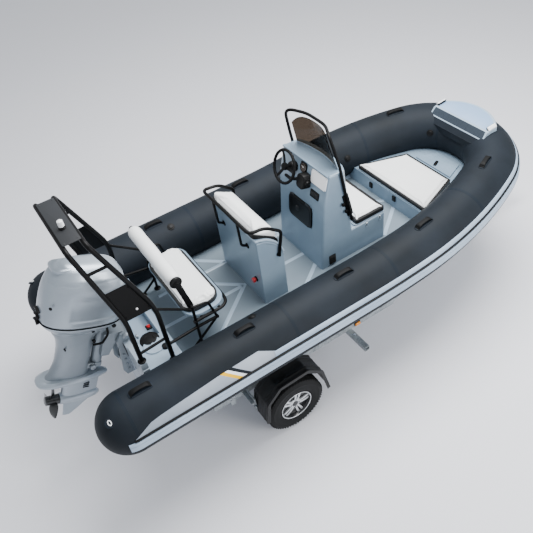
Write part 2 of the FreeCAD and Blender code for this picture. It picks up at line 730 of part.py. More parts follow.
screen_foot_x = size.console_top_fore - 58
screen_top_x = screen_foot_x - 60
foot_edge = screen_edge(screen_foot_x, size.console_top - 9, size.screen_half, 45)
top_edge = screen_edge(screen_top_x, size.screen_top - 22, size.screen_half - 60, 60)
rail_y = size.console_half + size.rail_radius
rail_corner = size.screen_half - 8
rail_top = size.screen_top + 16
half_rail = [(2668, -rail_y, 1330), (2606, -rail_y, 1640), (2556, -rail_y, 1930),
             (2500, -rail_corner, rail_top), (2580, -100, rail_top)]
other_rail = [(x, -y, z) for x, y, z in reversed(half_rail)]
screen_rail = bent_tube(half_rail + other_rail, size.rail_radius, 55)
node(feature("WindscreenRail", screen_rail.cut(outer)), "windscreen_rail")
screen = Part.makeLoft([foot_edge, top_edge], True, True).cut(outer).cut(screen_rail)
node(feature("Windscreen", max(screen.Solids, key=lambda solid: solid.Volume)), "windscreen")

dash = math.atan2(size.console_top_x - size.console_mid_x, size.console_top - size.console_mid)
dash_turn = Rotation(Vector(0, 1, 0), math.degrees(dash))


def on_dash(shape, side, height):
    """Set a shape, drawn with its back on the plane x = 0, on the leaning dash."""
    x = size.console_mid_x + (height - size.console_mid) * math.tan(dash)
    shape.Placement = Placement(Vector(x, side, height), dash_turn)
    return shape


panels = [on_dash(shape_box(-8, 0, -105, 105, -60, 60), -215, 1790),
          on_dash(shape_box(-10, 0, -60, 60, -32, 32), -180, 1645),
          on_dash(Part.makeCylinder(45, 14, Vector(0, 0, 0), Vector(-1, 0, 0)), -20, 1805)]
throttle = joined([shape_box(-75, 0, -45, 45, -45, 45),
                   Part.makeCylinder(16, 20, Vector(-40, -45, 0), Vector(0, -1, 0)),
                   Part.makeCylinder(9, 110, Vector(-40, -58, 0), Vector(-0.35, 0, 0.94)),
                   Part.makeCylinder(14, 80, Vector(-79, -78, 103), Vector(0, 1, 0))])
panels.append(on_dash(throttle, -25, 1690))

# Steering wheel: rim, three spokes and a hub, on a shaft that stops at the helm boss.
rake = Rotation(Vector(0, 1, 0), size.helm_rake)
spokes = []
for angle in (90, 210, 330):
    spoke = shape_box(-5, 5, -14, 14, 20, size.helm_radius)
    spoke.rotate(Vector(), Vector(1, 0, 0), angle)
    spokes.append(spoke)
wheel = joined([Part.makeTorus(size.helm_radius, size.helm_grip, Vector(), Vector(1, 0, 0)),
                Part.makeCylinder(34, 34, Vector(-14, 0, 0), Vector(1, 0, 0))] + spokes)
helm_place = Placement(Vector(size.helm_x, size.helm_side, size.helm_z), rake)
wheel.Placement = helm_place
node(feature("SteeringWheel", wheel), "steering_wheel")
boss = joined([Part.makeCylinder(13, 200, Vector(20.3, 0, 0), Vector(1, 0, 0)),
               Part.makeCylinder(45, 160, Vector(58, 0, 0), Vector(1, 0, 0))])
boss.Placement = helm_place
node(feature("DashFittings", Part.Compound(panels + [boss.cut(outer)])), "dash_fittings")


# ---- bow -----------------------------------------------------------------------------------

locker = between_tubes(size.locker_place, 4300, size.deck_height, size.locker_top)
rim = size.cavity_rim
hold = plan_solid(trapezium(size.locker_place + 30, size.bow_lid_aft - rim, size.bow_lid_end - rim,
                            size.bow_lid_fore - rim), size.deck_height + 15, size.locker_top + 1)
anchor_well = plan_solid(trapezium(size.anchor_place + rim, size.anchor_aft - rim,
                                   size.anchor_end - rim, size.anchor_fore - rim / 2),
                         size.deck_height + 60, size.locker_top + 1)
node(feature("BowLocker", locker.cut(hold).cut(anchor_well)), "bow_locker")

lid_low = size.locker_top + seat_gap
node(feature("BowLid", plan_solid(trapezium(size.locker_place + 6, size.bow_lid_aft,
                                            size.bow_lid_end, size.bow_lid_fore),
                                  lid_low, lid_low + size.lid_thick)), "bow_lid")
pad = plan_solid(trapezium(size.locker_place + 8, size.bow_lid_aft - 2, size.bow_lid_end - 20,
                           size.bow_lid_fore - 25),
                 lid_low + size.lid_thick + 0.3, lid_low + size.lid_thick + size.bow_pad)
node(feature("BowCushion", pad.makeFillet(16, pad.Edges)), "bow_cushion")
hatch_plate = plan_solid(trapezium(size.anchor_place, size.anchor_aft, size.anchor_end,
                                   size.anchor_fore), lid_low, lid_low + size.lid_thick)
node(feature("AnchorHatch", hatch_plate), "anchor_hatch")

# The bow step is a moulding that sits over the tube and follows the round of the bow. Its tread
# is level with the bow's rise and its aft side slopes down to the tube.
run_aft = (size.nose_aft - turn_x) / math.cos(rise)
run_tread = (size.nose_tread - turn_x) / math.cos(rise)
run_fore = (size.nose_fore - turn_x) / math.cos(rise)
top = size.tube_radius + size.nose_thick
step_low = size.tube_radius - 150
cheek_run = run_tread + 120
step_corners = [Vector(run_aft, -size.nose_half, step_low), Vector(run_aft, size.nose_half, step_low),
                Vector(cheek_run, size.nose_half, step_low),
                Vector(cheek_run, -size.nose_half, step_low)]
step_wire = Part.Wire([
    Part.makeLine(step_corners[0], step_corners[1]), Part.makeLine(step_corners[1], step_corners[2]),
    Part.Arc(step_corners[2], Vector(run_fore, 0, step_low), step_corners[3]).toShape(),
    Part.makeLine(step_corners[3], step_corners[0])])
slope_foot = top - 115
step_side = [(run_aft, step_low - 1), (run_aft, slope_foot), (run_tread, top), (run_fore + 1, top),
             (run_fore + 1, step_low - 1)]
step = Part.Face(step_wire).extrude(Vector(0, 0, top - step_low))
step = step.common(profile_solid(step_side, size.nose_half + 1))
step = step.makeFillet(12, [edge for edge in step.Edges if edge.BoundBox.ZMin > top - 1])
step.Placement = Placement(Vector(turn_x, 0, turn_z), Rotation(Vector(0, 1, 0), -size.sheer_angle))
step = max(step.cut(tube_outer).Solids, key=lambda solid: solid.CenterOfMass.z)
node(feature("BowStep", step), "bow_step")

# The bow lamps stand on the tube against the step's sides.
lights = []
for side in (-1, 1):
    lamp = shape_box(-32, 32, 0, 24, 0, 26)
    y = side * (size.nose_half + 0.4) - (24 if side < 0 else 0)
    place = Placement(Vector(turn_x, 0, turn_z), Rotation(Vector(0, 1, 0), -size.sheer_angle))
    lamp.Placement = place.multiply(Placement(Vector(run_tread + 70, y, size.tube_radius + 0.6),
                                              Rotation()))
    lights.append(lamp.cut(tube_outer))

eye_at = Vector(4290, 0, keel_at(4290))
stem_slope = math.atan2(keel_at(4300) - keel_at(4280), 20)
stem_out = Vector(math.sin(stem_slope), 0, -math.cos(stem_slope))
eye = joined([Part.makeCylinder(26, 40, eye_at - stem_out * 30, stem_out),
              Part.makeTorus(22, 6, eye_at + stem_out * 26, Vector(0, 1, 0))])
node(feature("BowEye", eye.cut(hull_outer)), "bow_eye")


# ---- fittings on the tubes -----------------------------------------------------------------

# from degrees, to degrees above the tube's outer side
STRAKES = ((13, 28), (-14, 12))
bands = []
for low, high in STRAKES:
    rims = []
    for radius in (size.tube_radius + 0.3, size.tube_radius + size.strake_proud):
        rims.append([Vector(size.tube_radius, tube_y + radius * math.cos(math.radians(angle)),
                            size.tube_height + radius * math.sin(math.radians(angle)))
                     for angle in (low, (low + high) / 2, high)])
    band = Part.Wire([Part.Arc(*rims[0]).toShape(), Part.makeLine(rims[0][2], rims[1][2]),
                      Part.Arc(*reversed(rims[1])).toShape(),
                      Part.makeLine(rims[1][0], rims[0][0])])
    bands.append(swept(Part.Face(band), tube_moves()))
node(feature("Strakes", Part.Compound(bands)), "strakes")

HANDLE_PLACES = (400, 1271, 2214, 3100, 4020)
under_handle = Part.makeCylinder(size.tube_radius + 0.3, 2 * size.handle_length,
                                 Vector(-size.handle_length, 0, 0), Vector(1, 0, 0))
handles = []
for x in HANDLE_PLACES:
    for side in (-1, 1):
        half = size.handle_length / 2
        foot = shape_box(-half, half, -size.handle_width / 2, size.handle_width / 2,
                         size.tube_radius - 12, size.tube_radius + 6)
        height = size.tube_radius + size.handle_rise
        grip = bent_tube([(-half + 18, 0, size.tube_radius + 2), (-half + 34, 0, height),
                          (half - 34, 0, height), (half - 18, 0, size.tube_radius + 2)], 9, 14)
        handle = joined([foot, grip]).cut(under_handle)
        handle.Placement = tube_place(x, side)
        handles.append(handle)
node(feature("TubeHandles", Part.Compound(handles)), "tube_handles")


# ---- arch ----------------------------------------------------------------------------------

# foot x, foot z, bend x, top x
ARCH_HOOPS = ((size.arch_rear_foot, size.arch_rear_foot_z, size.arch_rear_bend, size.arch_rear_top),
              (size.arch_fore_foot, size.arch_fore_foot_z, size.arch_fore_bend, size.arch_fore_top))
hoops = []
for foot_x, foot_z, bend_x, top_x in ARCH_HOOPS:
    half_bend = size.arch_bend_half
    hoops.append(bent_tube(
        [(foot_x, -size.arch_foot_half, foot_z), (bend_x, -half_bend, size.arch_bend_z),
         (top_x, -size.arch_top_half, size.arch_top_z), (top_x, size.arch_top_half, size.arch_top_z),
         (bend_x, half_bend, size.arch_bend_z), (foot_x, size.arch_foot_half, foot_z)],
        size.arch_radius, 70))


def leg_pair(z, side):
    """Where the rear and fore legs are at a height: they bend between the feet and the top."""
    pair = []
    for foot_x, foot_z, bend_x, top_x in ARCH_HOOPS:
        ends = ((foot_x, size.arch_foot_half, foot_z), (bend_x, size.arch_bend_half, size.arch_bend_z))
        if z > size.arch_bend_z:
            ends = (ends[1], (top_x, size.arch_top_half, size.arch_top_z))
        share = (z - ends[0][2]) / (ends[1][2] - ends[0][2])
        x, half = [a + (b - a) * share for a, b in zip(ends[0][:2], ends[1][:2])]
        pair.append(Vector(x, side * half, z))
    return pair


# Between the legs of each side: a rung low down, one near the top, and a plate above the bend.
webs = []
for side in (-1, 1):
    for height in (1290, 2080):
        webs.append(bar(*leg_pair(height, side), 12))
    low_pair = leg_pair(size.arch_bend_z + 20, side)
    high_pair = leg_pair(1860, side)
    outline = [low_pair[0], low_pair[1], high_pair[1], high_pair[0]]
    through = (outline[1] - outline[0]).cross(outline[3] - outline[0]).normalize()
    outline = [corner - through * (size.plate_thick / 2) for corner in outline]
    webs.append(Part.Face(Part.makePolygon(outline + outline[:1])).extrude(through * size.plate_thick))
feet = [Part.makeCylinder(26, 8, Vector(foot_x, side * size.arch_foot_half, foot_z - 5.7))
        for foot_x, foot_z, _, _ in ARCH_HOOPS for side in (-1, 1)]
link_end = size.backrest_pivot_z - 20
links = [bar(leg_pair(1575, side)[1], (post_x, side * frame_y, link_end), 11) for side in (-1, 1)]
node(feature("ArchHoops", joined(hoops + webs + feet + links).cut(bench_frame).cut(tube_outer)
             .cut(aft_moulding).cut(foot_blocks)),
     "arch_hoops")

top_z = size.arch_top_z + size.arch_radius
plate = shape_box(size.arch_rear_top, size.arch_fore_top, -size.arch_top_half + 60,
                  size.arch_top_half - 60, top_z + 0.3, top_z + size.plate_thick)
node(feature("ArchPlate", plate), "arch_plate")
mast = [Part.makeCylinder(24, 20, Vector(433, 0, top_z + size.plate_thick + 0.3)),
        Part.makeCylinder(20, 50, Vector(433, 0, top_z + size.plate_thick + 20))]
lamps = lights + [joined(mast)]


# ---- outboard motor ------------------------------------------------------------------------
# Drawn upright with the tilt axis as origin, then set on the transom at its raised angle.

motor_place = Placement(Vector(size.pivot_x, 0, size.pivot_z),
                        Rotation(Vector(0, 1, 0), size.motor_tilt))


def motor_node(name, shape, label):
    shape = shape.copy()
    shape.Placement = motor_place.multiply(shape.Placement)
    return node(feature(name, shape), label)


# Clamp brackets stay on the transom: one plate each side, a hook over the board and the tilt pin.
clamp = []
for side in (-1, 1):
    y0 = side * size.clamp_half
    outline = [(455, 1010), (455, 1100), (505, 1160), (590, 1160), (600, 1105),
               (600, 1000), (size.transom_place + size.transom_thick + 0.3, 1000),
               (size.transom_place + size.transom_thick + 0.3, size.transom_top + 0.3),
               (size.transom_place - 0.3, size.transom_top + 0.3),
               (size.transom_place - 0.3, 700), (440, 700), (420, 760)]
    points = [Vector(x, y0, z) for x, z in outline]
    clamp.append(Part.Face(Part.makePolygon(points + points[:1])).extrude(
        Vector(0, -side * size.clamp_thick, 0)))
pin = Part.makeCylinder(14, 2 * size.clamp_half + 40, Vector(size.pivot_x, -size.clamp_half - 20,
                                                             size.pivot_z), Vector(0, 1, 0))
tie = Part.makeCylinder(12, 2 * size.clamp_half, Vector(458, -size.clamp_half, 730), Vector(0, 1, 0))
node(feature("ClampBrackets", joined(clamp + [pin, tie])), "clamp_brackets")

# The swivel bracket turns on the tilt pin and carries the steering sleeve.
swivel_half = size.clamp_half - size.clamp_thick - 6
bore = Part.makeCylinder(14.3, 4 * swivel_half, Vector(0, -2 * swivel_half, 0), Vector(0, 1, 0))
sleeve = Part.makeCylinder(48, 330, Vector(-size.steer_back, 0, -290))
bridge = profile_solid([(-size.steer_back, -200), (-size.steer_back, 20), (-10, 26), (26, 10),
                        (26, -12), (-60, -60), (-105, -200)], swivel_half)
steer_bore = Part.makeCylinder(32, 400, Vector(-size.steer_back, 0, -320))
motor_node("SwivelBracket", joined([sleeve, bridge]).cut(bore).cut(steer_bore), "swivel_bracket")

# The midsection: steering post, the leg behind it, and the pan under the engine.
post = Part.makeCylinder(31.7, 380, Vector(-size.steer_back, 0, -315))
head = shape_box(-size.steer_back - 60, -size.steer_back + 60, -70, 70, 46, 80)
yoke = shape_box(-size.steer_back - 120, -size.steer_back + 45, -48, 48, -345, -296)
leg_wires = []
for z, x0, x1, half in ((87.7, -560, -235, 130), (-150, -470, -235, 95), (-size.plate_drop + 30, -440, -228, 60)):
    corners = [Vector(x0, -half * 0.6, z), Vector((x0 + x1) / 2, -half, z), Vector(x1, -half * 0.7, z),
               Vector(x1, half * 0.7, z), Vector((x0 + x1) / 2, half, z), Vector(x0, half * 0.6, z)]
    leg_wires.append(Part.makePolygon(corners + corners[:1]))
leg = Part.makeLoft(leg_wires, True, True)
upper_link = shape_box(-300, -size.steer_back + 40, -60, 60, 52, 87.7)
lower_link = shape_box(-300, -size.steer_back - 40, -44, 44, -342, -300)
motor_node("Midsection", joined([leg, post, head, yoke, upper_link, lower_link]), "motor_midsection")

pan_wires = []
for z, grow in ((88, -70), (size.cowl_low - 0.5, -4)):
    x0 = -size.cowl_aft - grow
    x1 = -size.cowl_fore + grow
    half = size.cowl_half + grow
    pan_wires.append(Part.makePolygon([Vector(x0, -half * 0.6, z), Vector((x0 + x1) / 2, -half, z),
                                       Vector(x1, -half * 0.75, z), Vector(x1, half * 0.75, z),
                                       Vector((x0 + x1) / 2, half, z), Vector(x0, half * 0.6, z),
                                       Vector(x0, -half * 0.6, z)]))
motor_node("MotorPan", Part.makeLoft(pan_wires, True, True), "motor_pan")
motor_node("Powerhead", shape_box(-560, -190, -108, 108, size.cowl_low + 0.5, size.cowl_high - 130),
           "motor_block")


def cowl_loft(inset, low):
    wires = []
    for z, aft, fore, half in ((low, 0, 0, 0), (420, -6, 0, -4), (600, 40, 30, -40),
                               (size.cowl_high, 120, 150, -110)):
        x0 = -size.cowl_aft + aft + inset
        x1 = -size.cowl_fore - fore - inset
        wide = size.cowl_half + half - inset
        height = z - inset if z == size.cowl_high else z
        wires.append(Part.makePolygon([Vector(x0, -wide * 0.62, height),
                                       Vector((x0 + x1) / 2, -wide, height),
                                       Vector(x1, -wide * 0.78, height),
                                       Vector(x1, wide * 0.78, height),
                                       Vector((x0 + x1) / 2, wide, height),
                                       Vector(x0, wide * 0.62, height),
                                       Vector(x0, -wide * 0.62, height)]))
    return Part.makeLoft(wires, True, True)


motor_node("Cowl", cowl_loft(0, size.cowl_low).cut(cowl_loft(size.cowl_wall, size.cowl_low - 1)),
           "motor_cowl")

# The lower unit: plate over the propeller, strut, torpedo and skeg.
strut_top = -size.plate_drop + 30
plate = plan_solid([(-650, -60), (-650, 60), (-560, 105), (-300, 100), (-60, 30), (-60, -30),
                    (-300, -100), (-560, -105)], -size.plate_drop - 8, -size.plate_drop + 8)
strut = plan_solid([(-432, -12), (-380, -38), (-240, -38), (-120, 0), (-240, 38), (-380, 38),
                    (-432, 12)], -size.shaft_drop, strut_top - 0.3)
gear_end = -size.propeller_back + 55.4
hub = size.hub_radius + 8
torpedo = joined([Part.makeCylinder(hub, 230, Vector(gear_end, 0, -size.shaft_drop),
                                    Vector(1, 0, 0)),
                  Part.makeCone(hub, 12, 110, Vector(gear_end + 230, 0, -size.shaft_drop),
                                Vector(1, 0, 0))])
skeg = profile_solid([(-400, -size.shaft_drop), (-390, -size.skeg_drop), (-330, -size.skeg_drop),
                      (-150, -size.shaft_drop)], 7)
motor_node("LowerUnit", joined([plate, strut, torpedo, skeg]), "motor_lower_unit")

blades = []
for number in range(3):
    blade = Part.makeBox(12, 100, size.propeller_radius - size.hub_radius + 12,
                         Vector(-6, -50, size.hub_radius - 12))
    blade = blade.common(Part.makeCylinder(size.propeller_radius, 60, Vector(-30, 0, 0),
                                           Vector(1, 0, 0)))
    blade.rotate(Vector(), Vector(0, 0, 1), 28)
    blade.rotate(Vector(), Vector(1, 0, 0), 120 * number)
    blades.append(blade)
hub_body = Part.makeCone(size.hub_radius - 6, size.hub_radius, 110, Vector(-55, 0, 0), Vector(1, 0, 0))
propeller = joined([hub_body] + blades)
propeller.Placement = Placement(Vector(-size.propeller_back, 0, -size.shaft_drop), Rotation())
motor_node("Propeller", propeller, "propeller")


# ---- trailer -------------------------------------------------------------------------------

def side_rail(side):
    """A rail that runs forward, then in to the drawbar."""
    inner = size.rail_side - size.rail_width
    outline = [(size.rail_aft, size.rail_side), (size.rail_bend, size.rail_side),
               (size.rail_meet, size.drawbar_side / 2), (size.rail_meet, 0),
               (size.rail_meet - 90, 0), (size.rail_bend - 12, inner),
               (size.rail_aft, inner)]
    return plan_solid([(x, side * y) for x, y in outline], size.rail_top - size.rail_tall,
                      size.rail_top)


bar_top = size.rail_top - size.rail_tall
drawbar = shape_box(size.drawbar_aft, size.drawbar_end, -size.drawbar_side / 2,
                    size.drawbar_side / 2, bar_top - size.drawbar_side, bar_top)
node(feature("TrailerRails", joined([side_rail(-1), drawbar, side_rail(1)])), "trailer_rails")

cross_low = size.rail_top - size.rail_tall - size.arm_side
crosses = [box("RearCross", "rear_cross_x - arm_side / 2", "-rail_side",
               "rail_top - rail_tall - arm_side", "arm_side", "2 * rail_side", "arm_side"),
           box("ForeCross", "fore_cross_x - arm_side / 2", "-rail_side * 0.76",
               "rail_top - rail_tall - arm_side", "arm_side", "2 * rail_side * 0.76", "arm_side")]
arm_tube = box("ArmTube", "arm_x - arm_side / 2", "-arm_reach", "rail_top - rail_tall - arm_side",
               "arm_side", "2 * arm_reach", "arm_side")
arm_hole = box("ArmHole", "arm_x - arm_side / 2 + 4", "-arm_reach - 1",
               "rail_top - rail_tall - arm_side + 4", "arm_side - 8", "2 * arm_reach + 2",
               "arm_side - 8")
node(group("CrossTubes", crosses + [cut("SideArms", arm_tube, arm_hole)]), "trailer_cross_tubes")

beam_solid = shape_box(size.axle_x - size.axle_side / 2, size.axle_x + size.axle_side / 2,
                       -size.rail_side - 35, size.rail_side + 35, size.axle_z - size.axle_side / 2,
                       size.axle_z + size.axle_side / 2)
axle_pieces = [beam_solid]
for side in (-1, 1):
    seat = shape_box(size.axle_x - 60, size.axle_x + 60, side * (size.rail_side - size.rail_width / 2) - 20,
                     side * (size.rail_side - size.rail_width / 2) + 20, size.axle_z + size.axle_side / 2,
                     size.rail_top - size.rail_tall)
    y = side * (size.rail_side + 35)
    tips = [(size.axle_x + 35, size.axle_z - 30), (size.axle_x + 35, size.axle_z + 30),
            (size.wheel_x - 30, size.wheel_radius + 32), (size.wheel_x - 30, size.wheel_radius - 32)]
    points = [Vector(x, y, z) for x, z in tips]
    swing = Part.Face(Part.makePolygon(points + points[:1])).extrude(Vector(0, side * 22, 0))
    stub = Part.makeCylinder(16, size.wheel_side - abs(y) + 12, Vector(size.wheel_x, y, size.wheel_radius),
                             Vector(0, side, 0))
    drum = Part.makeCylinder(95, 28, Vector(size.wheel_x, y + side * 22, size.wheel_radius),
                             Vector(0, side, 0))
    axle_pieces += [seat, swing, stub, drum]
node(feature("Axle", joined(axle_pieces)), "trailer_axle")

for side, word in ((-1, "right"), (1, "left")):
    # tyre section as (distance from its middle, radius), turned about the wheel's axis
    half = size.tyre_width / 2
    section = [(-half + 8, size.rim_radius + 0.5), (half - 8, size.rim_radius + 0.5),
               (half, size.rim_radius + 45), (half - 14, size.wheel_radius - 12),
               (half - 40, size.wheel_radius), (-half + 40, size.wheel_radius),
               (-half + 14, size.wheel_radius - 12), (-half, size.rim_radius + 45)]
    centre = Vector(size.wheel_x, side * size.wheel_side, size.wheel_radius)
    corners = [centre + Vector(0, across, up) for across, up in section]
    tyre = Part.Face(Part.makePolygon(corners + corners[:1])).revolve(centre, Vector(0, 1, 0), 360)
    node(feature("Tyre" + word, tyre), "tyre_" + word)
    barrel = Part.makeCylinder(size.rim_radius, 2 * half - 16, centre - Vector(0, half - 8, 0),
                               Vector(0, 1, 0))
    barrel = barrel.cut(Part.makeCylinder(size.rim_radius - 8, 2 * half, centre - Vector(0, half, 0),
                                          Vector(0, 1, 0)))
    face_y = side * (size.wheel_side + half - 34)
    disc = Part.makeCylinder(size.rim_radius - 7, 14, Vector(size.wheel_x, face_y, size.wheel_radius),
                             Vector(0, side, 0))
    for number in range(5):
        angle = math.radians(72 * number + 18)
        hole = Part.makeCylinder(32, 20, Vector(size.wheel_x + 98 * math.cos(angle), face_y - side * 3,
                                                size.wheel_radius + 98 * math.sin(angle)),
                                 Vector(0, side, 0))
        disc = disc.cut(hole)
    hub_shell = Part.makeCylinder(size.hub_face_radius, 60, Vector(size.wheel_x, face_y - side * 44,
                                                                   size.wheel_radius),
                                  Vector(0, side, 0))
    bore = Part.makeCylinder(16.3, 42, Vector(size.wheel_x, face_y - side * 45, size.wheel_radius),
                             Vector(0, side, 0))
    node(feature("Rim" + word, joined([barrel, disc, hub_shell]).cut(bore)), "rim_" + word)

# fore and up from the wheel's centre
GUARD_OUTLINE = ((-308, 45), (-278, 275), (-150, 400), (135, 408), (275, 290), (335, 10))
guards = []
guard_inner = size.wheel_side - size.guard_width / 2
for side in (-1, 1):
    y0, y1 = sorted((side * guard_inner, side * (guard_inner + size.guard_width)))
    rings = []
    for share in (1, 1 - size.guard_thick / 400):
        rings.append([Vector(size.wheel_x + share * x, y0, size.wheel_radius + z * share)
                      for x, z in GUARD_OUTLINE])
    outline = rings[0] + rings[1][::-1]
    guard = Part.Face(Part.makePolygon(outline + outline[:1])).extrude(Vector(0, y1 - y0, 0))
    guards.append(guard)
node(feature("Mudguards", Part.Compound(guards)), "mudguards")

# Stays hold each mudguard off the rail: a perforated strip aft of it and an arm over the axle.
stays = []
for side in (-1, 1):
    y0, y1 = sorted((side * (guard_inner + 4), side * (guard_inner + 56)))
    x1 = size.wheel_x + GUARD_OUTLINE[0][0] - 0.3
    strip = shape_box(x1 - 5, x1, y0, y1, size.wheel_radius + 40, size.rail_top)
    y0, y1 = sorted((side * size.rail_side, side * (guard_inner + 56)))
    arm = shape_box(x1 - 45, x1 - 5, y0, y1, size.rail_top - 40, size.rail_top - 34)
    web = shape_box(x1 - 12, x1 - 5, y0, y1, size.rail_top - 60, size.rail_top)
    stays.append(joined([strip, arm, web]))
    low = size.wheel_radius + GUARD_OUTLINE[2][1] - size.guard_thick
    y0, y1 = sorted((side * (size.rail_side - 30), side * (guard_inner + 40)))
    shelf = shape_box(size.wheel_x - 25, size.wheel_x + 25, y0, y1, low - 8, low - 0.5)
    y0, y1 = sorted((side * (size.rail_side - 30), side * (size.rail_side - 10)))
    leg = shape_box(size.wheel_x - 25, size.wheel_x + 25, y0, y1, size.rail_top, low - 4)
    stays.append(joined([shelf, leg]))

# Two padded bunks lie under the hull's bottom, on posts from the cross tubes.
deadrise = math.atan2(size.chine_height - size.keel_height, size.chine_half)
bunk_y = 360
bunk_z = size.keel_height + bunk_y * math.tan(deadrise)
bunks = []
posts = []
for side in (-1, 1):
    def tilted(solid):
        solid.rotate(Vector(), Vector(1, 0, 0), side * math.degrees(deadrise))
        solid.translate(Vector(0, side * bunk_y, bunk_z))
        return solid
    bunks.append(tilted(shape_box(size.rear_cross_x - 150, size.arm_x + 150, -45, 45, -45, -0.3)))
    above = tilted(shape_box(0, 3000, -300, 300, -45, 400))
    for x in (size.rear_cross_x, size.arm_x):
        column = shape_box(x - 20, x + 20, side * bunk_y - 20, side * bunk_y + 20,
                           size.rail_top - size.rail_tall, 700)
        posts.append(column.cut(above))
node(feature("Bunks", Part.Compound(bunks)), "bunks")


cross_top = size.rail_top - size.rail_tall
rollers = []
roller_forks = []
for x in (size.rear_cross_x, size.fore_cross_x):
    radius = 24
    axis_z = keel_at(x) - radius - 0.5
    rollers.append(Part.makeCylinder(radius, 110, Vector(x, -55, axis_z), Vector(0, 1, 0)))
    cheeks = [shape_box(x - 18, x + 18, y, y + 5, cross_top, axis_z + 14) for y in (-64, 59)]
    roller_forks.append(joined(cheeks + [shape_box(x - 18, x + 18, -64, 64, cross_top, cross_top + 6)]))
    rollers[-1] = rollers[-1].fuse(Part.makeCylinder(7, 118, Vector(x, -59, axis_z), Vector(0, 1, 0)))
node(feature("Brackets", Part.Compound(stays + posts + roller_forks)), "trailer_brackets")

mast = shape_box(size.post_x - 30, size.post_x + 30, -30, 30, bar_top, size.post_top)
stem_arm = shape_box(4500, size.post_x, -20, 20, size.post_top - 75, size.post_top - 35)
foot = shape_box(size.post_x - 70, size.post_x + 70, -50, 50, bar_top, bar_top + 8)
stop = shape_box(4446, 4500, -60, 60, size.post_top - 95, size.post_top - 15)
stop = stop.cut(plan_solid([(4440, -70), (4440, 70), (4480, 0)], 800, 1000)).cut(hull_outer)
node(feature("KeelRollers", Part.Compound(rollers + [stop])), "keel_rollers")
winch_x = size.post_x - 80
winch = joined([mast, stem_arm, foot, shape_box(winch_x - 50, size.post_x - 30, -50, -44, 700, 800),
                shape_box(winch_x - 50, size.post_x - 30, 44, 50, 700, 800),
                shape_box(size.post_x - 36, size.post_x - 30, -50, 50, 700, 800),
                Part.makeCylinder(32, 88, Vector(winch_x, -44, 755), Vector(0, 1, 0)),
                Part.makeCylinder(8, 70, Vector(winch_x, -110, 755), Vector(0, 1, 0)),
                bar((winch_x, -104, 755), (winch_x + 10, -104, 900), 7),
                bar((winch_x + 10, -100, 895), (winch_x + 10, -190, 895), 13)])
node(feature("WinchPost", winch), "winch_post")

# Coupling head over the ball, with its lever.
head = shape_box(size.drawbar_end, size.coupling_x + 62, -40, 40, size.coupling_z - 38,
                 size.coupling_z + 42)
head = head.makeFillet(36, [edge for edge in head.Edges
                            if upright(edge) and edge.BoundBox.XMin > size.coupling_x])
socket = Part.makeCylinder(size.ball_radius + 0.5, 60, Vector(size.coupling_x, 0, size.coupling_z - 40))
socket = socket.fuse(Part.makeSphere(size.ball_radius + 0.5, Vector(size.coupling_x, 0,
                                                                   size.coupling_z - 5)))
lever = profile_solid([(size.drawbar_end + 20, size.coupling_z + 41),
                       (size.coupling_x + 30, size.coupling_z + 41),
                       (size.coupling_x + 72, size.coupling_z + 92),
                       (size.coupling_x + 58, size.coupling_z + 98),
                       (size.coupling_x + 10, size.coupling_z + 60),
                       (size.drawbar_end + 20, size.coupling_z + 56)], 14)
node(feature("CouplingHead", joined([head.cut(socket), lever])), "coupling_head")

# Jockey wheel: sleeve and clamp on the drawbar, then leg, fork and wheel.
jx = size.jockey_x
jy = size.jockey_side
crown = 2 * size.jockey_radius + 30
sleeve = Part.makeCylinder(size.jockey_sleeve, 420, Vector(jx, jy, crown + 100))
clamp_block = shape_box(jx - 45, jx + 45, size.drawbar_side / 2, jy, bar_top - 75,
                        bar_top - 5)
crank = [Part.makeCylinder(12, 46, Vector(jx, jy, crown + 514)),
         shape_box(jx - 10, jx + 110, jy - 10, jy + 10, crown + 556, crown + 568),
         Part.makeCylinder(12, 90, Vector(jx + 100, jy, crown + 562))]
sleeve_bore = Part.makeCylinder(size.jockey_inner + 0.4, 400, Vector(jx, jy, crown + 99))
node(feature("JockeySleeve", joined([sleeve, clamp_block] + crank).cut(sleeve_bore)), "jockey_sleeve")
node(feature("JockeyLeg", Part.makeCylinder(size.jockey_inner, 270, Vector(jx, jy, crown + 0.5))),
     "jockey_leg")
wheel_at = Vector(jx - size.jockey_trail, jy, size.jockey_radius)
cheek = size.jockey_width / 2 + 8
fork_pieces = [shape_box(wheel_at.x - 25, jx + 30, jy - cheek - 5, jy + cheek + 5, crown - 12, crown)]
for side in (-1, 1):
    y0, y1 = sorted((jy + side * cheek, jy + side * (cheek + 5)))
    outline = [(jx + 20, crown - 6), (wheel_at.x - 25, crown - 6), (wheel_at.x - 18, wheel_at.z - 18),
               (wheel_at.x + 18, wheel_at.z - 18)]
    points = [Vector(x, y0, z) for x, z in outline]
    fork_pieces.append(Part.Face(Part.makePolygon(points + points[:1])).extrude(Vector(0, y1 - y0, 0)))
fork_pieces.append(Part.makeCylinder(8, 2 * cheek, wheel_at - Vector(0, cheek, 0), Vector(0, 1, 0)))
node(feature("JockeyFork", joined(fork_pieces)), "jockey_fork")
small = Part.makeCylinder(size.jockey_radius, size.jockey_width,
                          wheel_at - Vector(0, size.jockey_width / 2, 0), Vector(0, 1, 0))
small = small.makeFillet(12, [edge for edge in small.Edges if edge.Length > 500
                              and len(edge.Vertexes) == 1])
small = small.cut(Part.makeCylinder(8.3, 2 * cheek, wheel_at - Vector(0, cheek, 0), Vector(0, 1, 0)))
node(feature("JockeyWheel", small), "jockey_wheel")

for side in (-1, 1):
    y0, y1 = sorted((side * size.rail_side, side * (size.rail_side + 22)))
    lamps.append(shape_box(2385, 2445, y0, y1, size.rail_top - 55, size.rail_top - 22))
node(feature("Lamps", Part.Compound(lamps)), "lamps")

